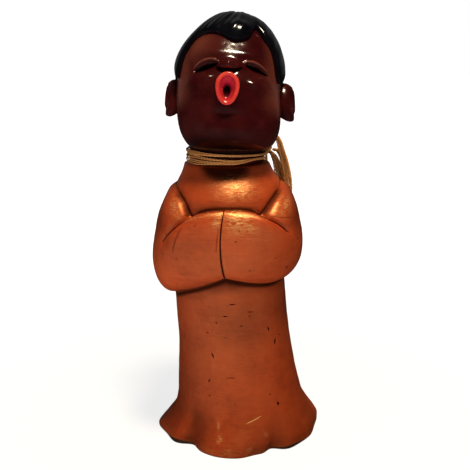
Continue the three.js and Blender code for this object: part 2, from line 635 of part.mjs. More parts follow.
const head = new THREE.Group();
head.position.copy(HEAD_CENTRE);
head.rotation.set(-radians(HEAD_TILT), radians(HEAD_ROLL), 0, 'YXZ');
head.updateMatrix();

body.add(piece('robe_shell', makeRobe(), COPPER_PAINT));
const cuffShift = THREE.MathUtils.radToDeg(SLEEVE_GAP / 2 / CHEST_HALF_WIDTH);
body.add(piece('right_sleeve', makeSleeve(RIGHT_SLEEVE, -cuffShift), COPPER_PAINT));
body.add(piece('left_sleeve', makeSleeve(LEFT_SLEEVE, cuffShift), COPPER_PAINT));
body.add(head);
head.add(piece('head', makeHead(head.matrix), SKIN_ENAMEL));
head.add(piece('hair_cap', makeHair(), HAIR_ENAMEL));
head.add(piece('left_ear', makeEar(LEFT_EAR), SKIN_ENAMEL));
head.add(piece('right_ear', makeEar(RIGHT_EAR), SKIN_ENAMEL));
head.add(piece('lip_ring', makeLips(), LIP_ENAMEL));
body.add(piece('neck_cord', makeNeckCord(), GOLD_CORD));

const bowKnot = piece('bow_knot', makeKnot(KNOT_RADIUS), GOLD_CORD);
bowKnot.position.copy(knotCentre);
body.add(bowKnot);

// The body stands with the middle of its own extent over the origin.
const extent = new THREE.Box3().setFromObject(body, true);
const middle = extent.getCenter(new THREE.Vector3());
figurine.position.set(-middle.x, -middle.y, -extent.min.z);

const bow = new THREE.Group();
figurine.add(bow);
for (const [name, points] of Object.entries(BOW_LOOPS)) {
  bow.add(piece(name, makeBowCord(bowCurve(points, true)), GOLD_CORD));
}
for (const [name, points] of Object.entries(CORD_TAILS)) {
  const curve = bowCurve(points, false);
  const knot = piece(`${name}_knot`, makeKnot(TAIL_KNOT_RADIUS), GOLD_CORD);
  knot.position.copy(curve.getPoint(1)).addScaledVector(curve.getTangent(1), TAIL_KNOT_RADIUS + CLEARANCE);
  bow.add(piece(name, makeBowCord(curve), GOLD_CORD));
  bow.add(knot);
}

export default figurine;
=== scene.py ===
"""Looks of the choir singer figurine: brushed copper robe, glossy enamel head and gold cord.

Shapes are worked out in millimetres, with the part's own formulas on finer grids, and are
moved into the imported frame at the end. Angles are in degrees. Round the robe they run from
the figure's left arm (+X) over its back (+Y). On the head, azimuth runs from the face and
elevation from the level of the eyes, in the head's own tilted frame.
"""

import json
import logging
import math
from dataclasses import dataclass
from enum import Enum
from typing import Any, Callable, Sequence

import bmesh
import bpy
import numpy as np
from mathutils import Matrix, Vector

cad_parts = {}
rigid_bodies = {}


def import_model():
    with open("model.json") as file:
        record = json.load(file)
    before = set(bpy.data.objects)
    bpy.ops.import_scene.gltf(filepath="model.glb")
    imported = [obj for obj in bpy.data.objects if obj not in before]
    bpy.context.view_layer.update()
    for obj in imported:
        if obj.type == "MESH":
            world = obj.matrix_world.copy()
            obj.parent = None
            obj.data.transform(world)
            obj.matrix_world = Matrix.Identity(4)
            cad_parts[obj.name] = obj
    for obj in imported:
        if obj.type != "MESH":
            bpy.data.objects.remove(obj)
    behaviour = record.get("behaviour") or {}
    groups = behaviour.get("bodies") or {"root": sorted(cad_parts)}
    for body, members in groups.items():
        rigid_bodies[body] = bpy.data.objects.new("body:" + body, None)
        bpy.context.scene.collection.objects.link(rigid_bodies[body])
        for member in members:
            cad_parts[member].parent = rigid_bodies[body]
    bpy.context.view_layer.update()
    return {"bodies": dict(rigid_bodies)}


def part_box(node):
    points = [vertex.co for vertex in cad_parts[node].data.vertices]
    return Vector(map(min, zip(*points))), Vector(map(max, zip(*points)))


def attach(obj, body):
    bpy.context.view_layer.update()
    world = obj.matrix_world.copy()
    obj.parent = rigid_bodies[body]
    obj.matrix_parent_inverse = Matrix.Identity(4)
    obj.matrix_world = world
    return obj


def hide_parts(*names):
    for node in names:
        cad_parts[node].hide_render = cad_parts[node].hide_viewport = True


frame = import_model()

LOG = logging.getLogger("choir_singer")
Array = np.ndarray
Values = Array | float
Piece = bpy.types.Object
Colour = tuple[float, float, float, float]
Triple = tuple[float, float, float]
Pairs = tuple[tuple[float, float], ...]

# Sizes in millimetres that several pieces share. Separate pieces lie CLEARANCE apart, laid-on
# ones begin with an EDGE of that height, and each cuff ends CUFF_GAP before the line where the
# cuffs meet. The robe's paint counts its height in PAINT_HEIGHT and its way round at PAINT_RADIUS.
MM = 0.001
CLEARANCE = 0.3
EDGE = 0.8
CUFF_GAP = 0.12
COLLAR_HEIGHT = 99.9
COLLAR_AXIS = (-3.9, -4.0)
NECK_RADIUS = 12.95
SPIGOT_RADIUS = 8.6
PAINT_HEIGHT = 150.0
PAINT_RADIUS = 20.0
MERGED_WITHIN = 2e-7


# Curves and falloffs


def spread(offset: Array, width: Values) -> Array:
    """Bell curve, e to the power of minus the square of offset over width."""
    return np.exp(-((offset / width) ** 2))


def sind(degrees: Values) -> Array:
    """Sine of an angle in degrees."""
    return np.sin(np.radians(degrees))


def cosd(degrees: Values) -> Array:
    """Cosine of an angle in degrees."""
    return np.cos(np.radians(degrees))


def stacked(*parts: Values) -> Array:
    """Points from their coordinates."""
    return np.stack(np.broadcast_arrays(*parts), -1)


def facing(azimuth: Values, elevation: Values) -> Array:
    """Direction (sin a cos e, -cos a cos e, sin e), whose azimuth 0 is straight in front."""
    level = cosd(elevation)
    return stacked(sind(azimuth) * level, -cosd(azimuth) * level, sind(elevation))


def oval(x: Values, y: Values, wide: Values, deep: Values, angle: Values, height: Values) -> Array:
    """Point (x + wide cos a, y + deep sin a, height) of a level oval about (x, y)."""
    return stacked(x + wide * cosd(angle), y + deep * sind(angle), height)


def whole_turn(count: int) -> Array:
    """Evenly spaced angles of one turn, from 0."""
    return np.arange(count) * (360 / count)


def turn_between(angle: Values, other: Values) -> Array:
    """Shortest signed way between two angles: (a - b + 180) modulo 360, minus 180."""
    return np.mod(np.asarray(angle) - other + 180.0, 360.0) - 180.0


def each(kind: type, *rows: Sequence[Any]) -> tuple[Any, ...]:
    """One object of a kind from each row of its values."""
    return tuple(kind(*row) for row in rows)


def ease(low: float, high: float, value: Array) -> Array:
    """Smooth step from 0 at low to 1 at high, 3 t^2 - 2 t^3."""
    t = np.clip((value - low) / (high - low), 0.0, 1.0)
    return t * t * (3.0 - 2.0 * t)


def dome(offset: Array, power: float) -> Array:
    """Superellipse (1 - |offset|^power)^(1/2), which is 0 past an offset of 1."""
    return np.sqrt(np.maximum(0, 1 - np.abs(offset) ** power))


def tapered(share: Array, power: float) -> Array:
    """Taper to both ends of a line, (4 s (1 - s))^power."""
    return np.clip(4 * share * (1 - share), 0, 1) ** power


def unit(vectors: Array) -> Array:
    """Vectors divided by their length."""
    return vectors / np.linalg.norm(vectors, axis=-1, keepdims=True)


def hermite(t: Array, a: Array, b: Array, way_a: Array, way_b: Array) -> Array:
    """Cubic from a to b with given tangents, at t from 0 to 1.

    It is (2t^3 - 3t^2 + 1) a + (3t^2 - 2t^3) b + (t^3 - 2t^2 + t) way_a + (t^3 - t^2) way_b.
    """
    ends = (2 * t**3 - 3 * t**2 + 1) * a + (3 * t**2 - 2 * t**3) * b
    return ends + (t**3 - 2 * t**2 + t) * way_a + (t**3 - t**2) * way_b


def smooth_through(stations: Sequence[Sequence[float]], at: Array) -> Array:
    """Reads a smooth curve through pairs of position and value.

    Each span is a cubic. The slope at an inner station is the mean of the two span slopes
    beside it, each weighted by the length of the other span.

    Args:
        stations: Pairs of position and value, in rising order of position.
        at: Positions to read, of any shape.

    Returns:
        The values, in the shape of the positions.
    """
    xs, ys = np.asarray(stations, float).T
    spans = np.diff(xs)
    slopes = np.diff(ys) / spans
    inner = (slopes[:-1] * spans[1:] + slopes[1:] * spans[:-1]) / (spans[:-1] + spans[1:])
    tangents = np.concatenate([slopes[:1], inner, slopes[-1:]])
    i = np.clip(np.searchsorted(xs, at, side="left") - 1, 0, len(xs) - 2)
    t = np.clip((at - xs[i]) / spans[i], 0.0, 1.0)
    return hermite(t, ys[i], ys[i + 1], spans[i] * tangents[i], spans[i] * tangents[i + 1])


def even_spline(points: Sequence[Sequence[float]], share: Array) -> Array:
    """Uniform Catmull-Rom curve: the tangent at a point is half the way between its neighbours.

    Args:
        points: Control points, shape (K, D).
        share: Positions along the curve from 0 to 1, shape (N,).

    Returns:
        Points on the curve, shape (N, D).
    """
    p = np.asarray(points, float)
    run = np.clip(share, 0, 1) * (len(p) - 1)
    i = np.minimum(run.astype(int), len(p) - 2)
    before, after = p[np.maximum(i - 1, 0)], p[np.minimum(i + 2, len(p) - 1)]
    return hermite((run - i)[:, None], p[i], p[i + 1], (p[i + 1] - before) / 2, (after - p[i]) / 2)


def centripetal_spline(points: Array, steps: int = 24) -> Array:
    """Centripetal Catmull-Rom curve, whose knots are spaced by the root of each span's length.

    Args:
        points: Control points, shape (K, 3).
        steps: Samples on each span.

    Returns:
        Points on the curve with both ends, shape ((K - 1) * steps + 1, 3).
    """
    p = np.concatenate([[2 * points[0] - points[1]], points, [2 * points[-1] - points[-2]]])
    gap = np.sqrt(np.linalg.norm(np.diff(p, axis=0), axis=1))[:, None]
    slope = np.diff(p, axis=0) / gap
    tangent = slope[:-1] - (p[2:] - p[:-2]) / (gap[1:] + gap[:-1]) + slope[1:]
    start, end = tangent[:-1] * gap[1:-1], tangent[1:] * gap[1:-1]
    t = np.linspace(0, 1, steps, endpoint=False)[None, :, None]
    line = hermite(t, points[:-1, None], points[1:, None], start[:, None], end[:, None])
    return np.concatenate([line.reshape(-1, 3), points[-1:]])


def run_of(line: Array) -> Array:
    """Length of a polyline from its start to each of its points."""
    return np.concatenate([[0.0], np.cumsum(np.linalg.norm(np.diff(line, axis=0), axis=1))])


def spaced(line: Array, step: float) -> Array:
    """Resamples a polyline at an even step, by linear interpolation over its length."""
    run = run_of(line)
    at = np.linspace(0, run[-1], max(8, int(round(run[-1] / step))) + 1)
    return np.stack([np.interp(at, run, line[:, k]) for k in range(3)], axis=1)


def unevenness(points: Array, wavelength: float, seed: int, waves: int = 12) -> Array:
    """Smooth random field from about -1 to 1: 1.8 times the mean of seeded plane waves.

    Args:
        points: Places in millimetres, shape (..., 3).
        wavelength: Usual length of a wave, in millimetres.
        seed: Fixes the directions and phases.
        waves: Number of waves.

    Returns:
        The field, in the shape of the places.
    """
    chance = np.random.default_rng(seed)
    ways = unit(chance.normal(size=(waves, 3)))
    ways *= (2 * math.pi / wavelength) * chance.uniform(0.6, 1.6, size=(waves, 1))
    phases = chance.uniform(0, 2 * math.pi, size=waves)
    return np.sin(points @ ways.T + phases).mean(axis=-1) * 1.8


def squared(value: Array, power: float = 0.88) -> Array:
    """Sign of a cosine or sine times a power of its size, which gives a fuller oval."""
    return np.sign(value) * np.abs(value) ** power


def distance_to_line(x: Array, y: Array, line: Array) -> tuple[Array, Array]:
    """Nearest distance from points of a plane to a polyline, and the share along it.

    Args:
        x: First coordinates, of any shape.
        y: Second coordinates, in the same shape.
        line: Points of the polyline, shape (K, 2).

    Returns:
        The distance, and the place of the nearest point from 0 to 1.
    """
    best = np.full(x.shape, np.inf)
    where = np.zeros(x.shape)
    for i, (a, b) in enumerate(zip(line[:-1], line[1:])):
        way = b - a
        t = np.clip(((x - a[0]) * way[0] + (y - a[1]) * way[1]) / (way @ way), 0, 1)
        gap = np.hypot(x - a[0] - t * way[0], y - a[1] - t * way[1])
        nearer = gap < best
        best = np.where(nearer, gap, best)
        where = np.where(nearer, (i + t) / (len(line) - 1), where)
    return best, where


# Meshes


@dataclass(frozen=True)
class Place:
    """Where the part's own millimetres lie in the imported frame."""

    shift: Triple

    def metres(self, points: Array) -> Array:
        """Points of the part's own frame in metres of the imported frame, shifted and scaled."""
        return (np.asarray(points) + np.asarray(self.shift)) * MM


def finished(name: str, points: Array, quads: Array, uv: Array | None,
             fields: dict[str, Array], sharp: float | None = None) -> Piece:
    """Makes a piece, merges its doubled points, turns its faces outwards and smooths them.

    Args:
        name: Name of the piece.
        points: Points in metres, with a last axis of 3.
        quads: The four points of each face by number, with a last axis of 4.
        uv: UV coordinates of every face's corners, in the faces' order.
        fields: Values at the points by attribute name.
        sharp: Angle between faces past which an edge is drawn sharp, in degrees.

    Returns:
        The new object, at the origin.
    """
    mesh = bpy.data.meshes.new(name)
    mesh.from_pydata(points.reshape(-1, 3).tolist(), [], quads.reshape(-1, 4).tolist())
    if uv is not None:
        layer = mesh.uv_layers.new(name="UVMap")
        layer.data.foreach_set("uv", uv.astype(np.float32).ravel())
    for key, values in fields.items():
        attribute = mesh.attributes.new(key, "FLOAT", "POINT")
        attribute.data.foreach_set("value", values.astype(np.float32).ravel())
    build = bmesh.new()
    build.from_mesh(mesh)
    bmesh.ops.remove_doubles(build, verts=build.verts, dist=MERGED_WITHIN)
    bmesh.ops.recalc_face_normals(build, faces=build.faces)
    build.to_mesh(mesh)
    build.free()
    mesh.polygons.foreach_set("use_smooth", np.ones(len(mesh.polygons), dtype=bool))
    if sharp is not None:
        mesh.set_sharp_from_angle(angle=math.radians(sharp))
    return linked(name, mesh)


def linked(name: str, data: Any) -> Piece:
    """Makes an object of some data and links it to the scene."""
    thing = bpy.data.objects.new(name, data)
    bpy.context.scene.collection.objects.link(thing)
    return thing


def skin(name: str, place: Place, rings: Array, uv: Array | None = None, join_ends: bool = False,
         fields: dict[str, Array] | None = None) -> Piece:
    """Makes a closed body over rings of points. A ring may shrink to a point or a line.

    Quad (i, j) joins points j and j + 1 of ring i to the same points of ring i + 1.

    Args:
        name: Name of the piece.
        place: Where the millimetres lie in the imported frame.
        rings: Points in millimetres, shape (R, C, 3).
        uv: UV coordinates, shape (R + 1, C + 1, 2) with joined ends, else (R, C + 1, 2).
        join_ends: Whether the last ring meets the first.
        fields: Values at the points by attribute name, each of shape (R, C).

    Returns:
        The new object.
    """
    rows, columns = rings.shape[:2]
    row, column = np.indices((rows if join_ends else rows - 1, columns))
    here, below = row * columns, (row + 1) % rows * columns
    beside = (column + 1) % columns
    quads = np.stack([here + column, here + beside, below + beside, below + column], axis=-1)
    if uv is not None:
        around = (uv[row, column], uv[row, column + 1], uv[row + 1, column + 1], uv[row + 1, column])
        uv = np.stack(around, axis=2)
    return finished(name, place.metres(rings), quads, uv, fields or {}, sharp=70.0)


def uv_grid(columns: int, v: Array) -> Array:
    """UV coordinates of a closed grid: u runs once round its columns, v has one value a row."""
    u = np.linspace(0, 1, columns + 1)
    return stacked(u[None, :], v[:, None])


def tubes_mesh(name: str, place: Place, tubes: Sequence[Array], sides: int) -> Piece:
    """Makes closed round tubes in one mesh, each given by its rings with rounded ends.

    Args:
        name: Name of the piece.
        place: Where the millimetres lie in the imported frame.
        tubes: Rings of each tube, shape (N, sides, 3).
        sides: Points on each ring.

    Returns:
        The new object, with UV u as the run in millimetres and v as the way round.
    """
    quads, uvs, base = [], [], 0
    for rings in tubes:
        i, j = np.indices((len(rings) - 1, sides))
        here, beyond, beside = base + i * sides, base + (i + 1) * sides, (j + 1) % sides
        quads.append(np.stack([here + j, here + beside, beyond + beside, beyond + j], -1).reshape(-1, 4))
        run = run_of(rings.mean(axis=1))
        u = np.stack([run[i], run[i], run[i + 1], run[i + 1]], -1)
        v = np.stack([j, j + 1, j + 1, j], -1) / sides
        uvs.append(np.stack([u, v], -1).reshape(-1, 2))
        base += len(rings) * sides
    points = place.metres(np.concatenate([rings.reshape(-1, 3) for rings in tubes]))
    return finished(name, points, np.concatenate(quads), np.concatenate(uvs), {})


# Shader maths


def operator(kind: str, swapped: bool = False) -> Callable[["Socket", Any], "Socket"]:
    """An operator that adds a Math node of one kind, with its two values swapped if asked."""

    def apply(self: "Socket", other: Any) -> "Socket":
        """Adds the node and wraps its result."""
        return self.maker.maths(kind, other, self) if swapped else self.maker.maths(kind, self, other)

    return apply


@dataclass
class Socket:
    """A value in a node tree: the maker of its nodes and an output. Operators add Math nodes."""

    maker: "NodeMaker"
    link: Any
    __add__, __radd__ = operator("ADD"), operator("ADD", True)
    __sub__, __rsub__ = operator("SUBTRACT"), operator("SUBTRACT", True)
    __mul__, __rmul__ = operator("MULTIPLY"), operator("MULTIPLY", True)
    __truediv__ = operator("DIVIDE")


class NodeMaker:
    """Adds nodes to one node tree."""

    def __init__(self, tree: bpy.types.NodeTree) -> None:
        """Empties the tree and keeps it."""
        self.tree = tree
        tree.nodes.clear()

    def add(self, kind: str, settings: dict[str, Any] | None = None,
            inputs: dict[Any, Any] | None = None, output: Any = 0) -> Socket:
        """Adds a node, sets it, feeds its sockets and wraps one of its outputs.

        Args:
            kind: The node's type.
            settings: Its settings by name, set first.
            inputs: Values or wrapped sockets by the socket's name or number.
            output: Name or number of the output to wrap.

        Returns:
            The wrapped output.
        """
        node = self.tree.nodes.new(kind)
        for key, value in (settings or {}).items():
            setattr(node, key, value)
        for key, value in (inputs or {}).items():
            if isinstance(value, Socket):
                self.tree.links.new(value.link, node.inputs[key])
            else:
                node.inputs[key].default_value = value
        return Socket(self, node.outputs[output] if len(node.outputs) else node)

    def maths(self, operation: str, first: Any, second: Any = 0.0) -> Socket:
        """Result of a Math node."""
        return self.add("ShaderNodeMath", {"operation": operation}, {0: first, 1: second})

    def noise(self, vector: Socket, scale: float | Triple, detail: float, roughness: float = 0.55) -> Socket:
        """Fractal noise of about 0 to 1 at one scale of a vector, or at a scale for each axis."""
        if isinstance(scale, tuple):
            vector = self.add("ShaderNodeVectorMath", {"operation": "MULTIPLY"}, {0: vector, 1: scale})
            scale = 1.0
        return self.add("ShaderNodeTexNoise", {}, {
            "Vector": vector, "Scale": scale, "Detail": detail, "Roughness": roughness,
        })

    def step(self, value: Socket, low: float, high: float) -> Socket:
        """Smooth step of a value from 0 at low to 1 at high."""
        return self.add("ShaderNodeMapRange", {"interpolation_type": "SMOOTHSTEP"}, {
            "Value": value, "From Min": low, "From Max": high,
        })

    def mix(self, factor: Any, first: Any, second: Any) -> Socket:
        """Colour mix, the first colour at factor 0 and the second at 1."""
        return self.add("ShaderNodeMix", {"data_type": "RGBA"}, {0: factor, 6: first, 7: second}, 2)

    def coordinates(self, output: str) -> Socket:
        """Object, UV or Generated coordinates."""
        return self.add("ShaderNodeTexCoord", output=output)

    def field(self, name: str) -> Socket:
        """A number kept on the mesh's points."""
        return self.add("ShaderNodeAttribute", {"attribute_name": name}, output="Fac")

    def part(self, vector: Socket, axis: str) -> Socket:
        """One part of a vector: X, Y or Z."""
        return self.add("ShaderNodeSeparateXYZ", {}, {0: vector}, axis)

    def ray(self, kind: str) -> Socket:
        """1 for rays of one kind, such as Is Camera Ray, and 0 for others."""
        return self.add("ShaderNodeLightPath", output=kind)

    def bump(self, height: Socket, depth: float, normal: Socket | None = None) -> Socket:
        """Normal of a surface raised by a height from 0 to 1, times a depth in metres."""
        under = {} if normal is None else {"Normal": normal}
        return self.add("ShaderNodeBump", {}, {"Height": height, "Distance": depth} | under, "Normal")

    def surface(self, kind: str, inputs: dict[Any, Any], target: str = "Material") -> None:
        """Ends a tree with a shader that has these inputs."""
        shader = self.add(f"ShaderNode{kind}", {}, inputs)
        self.add(f"ShaderNodeOutput{target}", {}, {"Surface": shader})


def new_material(name: str) -> tuple[bpy.types.Material, NodeMaker]:
    """A new material and the maker of its nodes."""
    material = bpy.data.materials.new(name)
    material.use_nodes = True
    return material, NodeMaker(material.node_tree)


# Finishes


class Slot(Enum):
    """The record's material slots."""

    COPPER = "copper_paint"
    SKIN = "skin_enamel"
    HAIR = "hair_enamel"
    LIPS = "lip_enamel"
    CORD = "gold_cord"


@dataclass(frozen=True)
class Mark:
    """A small mark in the robe's paint, by angle and height, with its half sizes and turn."""

    angle: float
    height: float
    long: float
    thin: float
    turn: float


@dataclass(frozen=True)
class CopperPaint:
    """Metallic copper paint brushed over a cast body, chipped, with painted shade in its creases and painted
    highlights.

    Noise scales are per metre, and the ones with three parts are stretched into brush marks.
    Clouds, streaks and mottle make up the tone, by their shares.
    """

    deep: Colour = (0.36, 0.040, 0.009, 1)
    middle: Colour = (0.50, 0.063, 0.014, 1)
    bright: Colour = (0.64, 0.100, 0.022, 1)
    # Colour of the painted shade in creases, along the sleeves and under the chin, and of the darker hem.
    crease: Colour = (0.085, 0.012, 0.005, 1)
    bare: Colour = (0.045, 0.012, 0.008, 1)
    # Gold of the painted highlights, and of the scratch.
    gold_rub_and_highlight: Colour = (0.94, 0.58, 0.19, 1)
    gloss: Colour = (1.0, 0.85, 0.38, 1)
    metallic: float = 0.25
    dark_metallic: float = 0.95
    roughness: float = 0.34
    streak_scale: Triple = (150.0, 150.0, 1700.0)
    brush_scale: Triple = (600.0, 600.0, 3600.0)
    pit_scale: Triple = (420.0, 420.0, 700.0)
    cloud_scale: float = 60.0
    mottle_scale: float = 420.0
    flake_scale: float = 4200.0
    tone_shares: Triple = (0.46, 0.26, 0.28)
    relief_depth: float = 0.00011
    flake_depth: float = 0.00006
    chips: tuple[Mark, ...] = each(
        Mark,
        (248.6, 34.1, 1.1, 0.3, 115), (308.0, 42.9, 0.9, 0.3, 100), (314.6, 37.7, 1.2, 0.38, 75),
        (307.0, 15.4, 0.7, 0.45, 100), (264.5, 26.3, 1.7, 0.14, 0), (120.0, 52.0, 1.2, 0.3, 70),
        (264.0, 48.9, 0.9, 0.2, 0), (272.3, 53.5, 1.2, 0.2, 5), (289.6, 50.2, 1.1, 0.18, -5),
        (243.0, 24.5, 0.8, 0.2, 60), (72.0, 30.0, 1.4, 0.35, 20), (160.0, 38.0, 1.0, 0.4, 85),
    )
    scratch: Mark = Mark(281.2, 11.5, 3.0, 0.16, 22)

    def _mark(self, make: NodeMaker, angle: Socket, height: Socket, mark: Mark) -> Socket:
        """Mask of a mark: 1 inside the turned ellipse about its place and 0 outside it."""
        cos, sin = cosd(mark.turn), sind(mark.turn)
        across = (angle - mark.angle) * math.radians(PAINT_RADIUS)
        up = height - mark.height
        along = (across * cos + up * sin) / mark.long
        beside = (up * cos - across * sin) / mark.thin
        return 1.0 - make.step(along * along + beside * beside, 0.5, 1.1)

    def material(self) -> bpy.types.Material:
        """Builds the paint: brushed tone, painted shade and a darker hem, painted highlights in gold, chips,
        a scratch and streaked gloss.

        Painted shade, the darker hem, chips and pits are made metallic, so that they don't mirror the
        surroundings.
        """
        material, make = new_material("copper_paint")
        place, uv = make.coordinates("Object"), make.coordinates("UV")
        angle, height = make.part(uv, "X") * 360.0, make.part(uv, "Y") * PAINT_HEIGHT
        streaks = make.noise(place, self.streak_scale, 4.0, 0.6)
        fine = make.noise(place, self.brush_scale, 2.0, 0.5)
        clouds = make.noise(place, self.cloud_scale, 3.0, 0.6)
        mottle = make.noise(place, self.mottle_scale, 3.0, 0.6)
        flakes = make.noise(place, self.flake_scale, 1.0, 0.5)
        tone = sum(part * share for part, share in zip((clouds, streaks, mottle), self.tone_shares))
        colour = make.mix(make.step(tone, 0.33, 0.56), self.deep, self.middle)
        colour = make.mix(make.step(tone, 0.52, 0.74) * 0.7, colour, self.bright)
        # Painted shade and the darker hem, kept on the mesh as crease.
        painted_shade = make.field("crease")
        colour = make.mix(painted_shade, colour, self.crease)
        # Painted highlights in gold, speckled.
        gold_rub_and_highlight = make.field("gold_rub_and_highlight") * make.step(fine * 0.6 + flakes * 0.4, 0.46, 0.6)
        colour = make.mix(gold_rub_and_highlight * 0.9, colour, self.gold_rub_and_highlight)
        chips = self._mark(make, angle, height, self.chips[0])
        for mark in self.chips[1:]:
            chips = chips + self._mark(make, angle, height, mark)
        pits = 1.0 - make.step(make.noise(place, self.pit_scale, 1.0), 0.20, 0.27)
        bare = make.maths("MINIMUM", chips + pits * 0.7, 1.0)
        dark = make.maths("MAXIMUM", bare, painted_shade)
        inside = make.field("bare")
        bare = make.maths("MAXIMUM", bare, inside)
        colour = make.mix(bare, colour, self.bare)
        scratch = self._mark(make, angle, height, self.scratch)
        relief = streaks * 0.22 + fine * 0.16 + mottle * 0.5 + clouds * 0.4 - chips * 1.4 - pits * 0.5
        make.surface("BsdfPrincipled", {
            "Base Color": make.mix(scratch * 0.75, colour, self.gold_rub_and_highlight),
            "Metallic": (1.0 - inside) * (dark * (self.dark_metallic - self.metallic) + self.metallic),
            "Roughness": self.roughness + (streaks - 0.5) * 0.22 + painted_shade * 0.2 + bare * 0.25,
            "Specular IOR Level": 1.0,
            "Specular Tint": self.gloss,
            "Normal": make.bump(flakes, self.flake_depth, make.bump(relief, self.relief_depth)),
        })
        return material


@dataclass(frozen=True)
class Enamel:
    """Gloss enamel over a cast surface, with painted places named on the mesh, painted sheen and painted
    shade among them.
    """

    name: str
    base: Colour
    shade: Colour
    roughness: float
    grain: float
    depth: float
    painted: tuple[tuple[str, Colour], ...] = ()
    matt: tuple[str, ...] = ()
    brushed: bool = False
    cloud_scale: float = 110.0
    speck_scale: float = 2600.0

    def material(self) -> bpy.types.Material:
        """Builds the enamel: two tones in soft clouds, painted places and a rippled gloss.

        The matt places are made metallic, so that they stay dark.
        """
        material, make = new_material(self.name)
        place = make.coordinates("Object")
        clouds = make.noise(place, self.cloud_scale, 3.0, 0.6)
        height = make.noise(place, self.grain, 2.0, 0.5)
        specks = make.noise(place, self.speck_scale, 1.0, 0.5)
        colour = make.mix(make.step(clouds, 0.36, 0.66), self.shade, self.base)
        for key, paint in self.painted:
            colour = make.mix(make.field(key), colour, paint)
        if self.brushed:
            strands = make.field("strand")
            height = height * 0.5 + strands * 4.0
            # Lighter along the locks: painted highlights in streaks.
            colour = make.mix(strands * 0.35, colour, self.base)
        make.surface("BsdfPrincipled", {
            "Base Color": colour,
            "Metallic": sum((make.field(key) * 0.9 for key in self.matt), 0.0),
            "Roughness": self.roughness + make.step(specks, 0.55, 0.75) * 0.08 + (clouds - 0.5) * 0.06,
            "Specular IOR Level": 0.5,
            "Normal": make.bump(height, self.depth),
        })
        return material


@dataclass(frozen=True)
class GoldThread:
    """Lightly twisted metallic gold thread, with painted shade between its fibres."""

    light: Colour = (1.0, 0.49, 0.14, 1)
    dark: Colour = (0.40, 0.115, 0.024, 1)
    metallic: float = 0.35
    roughness: float = 0.42
    fuzz_scale: float = 3000.0
    depth: float = 0.00007

    def material(self) -> bpy.types.Material:
        """Builds the thread: slanted fibres, sin(2 pi (1.1 u + 3 v)), and a soft metallic gloss."""
        material, make = new_material("gold_cord")
        uv = make.coordinates("UV")
        slant = (make.part(uv, "X") * 1.1 + make.part(uv, "Y") * 3.0) * (2 * math.pi)
        fibres = make.maths("SINE", slant) * 0.5 + 0.5
        fuzz = make.noise(make.coordinates("Object"), self.fuzz_scale, 2.0, 0.6)
        tone = fibres * 0.55 + fuzz * 0.6
        make.surface("BsdfPrincipled", {
            # Darker between the fibres, painted shade, and in random fuzz.
            "Base Color": make.mix(make.step(tone, 0.25, 0.85), self.dark, self.light),
            "Metallic": self.metallic,
            "Roughness": self.roughness + fuzz * 0.2,
            "Normal": make.bump(tone, self.depth),
        })
        return material


# Robe and sleeves


@dataclass(frozen=True)
class HemWave:
    """A wave that pulls the hem in or out and lifts its edge: angle, millimetres, half width."""

    angle: float
    out: float
    lift: float
    spread: float


@dataclass(frozen=True)
class Glint:
    """An oval of painted highlight in gold, with its place, half sizes and strength."""

    x: float
    y: float
    wide: float
    high: float
    strength: float

    def over(self, gold_rub_and_highlight: Array, across: Array, up: Array) -> Array:
        """Gold with this painted highlight laid over it: a bell of the distance in half sizes."""
        return np.maximum(gold_rub_and_highlight, self.strength * spread(np.hypot(across / self.wide, up / self.high), 1.0))


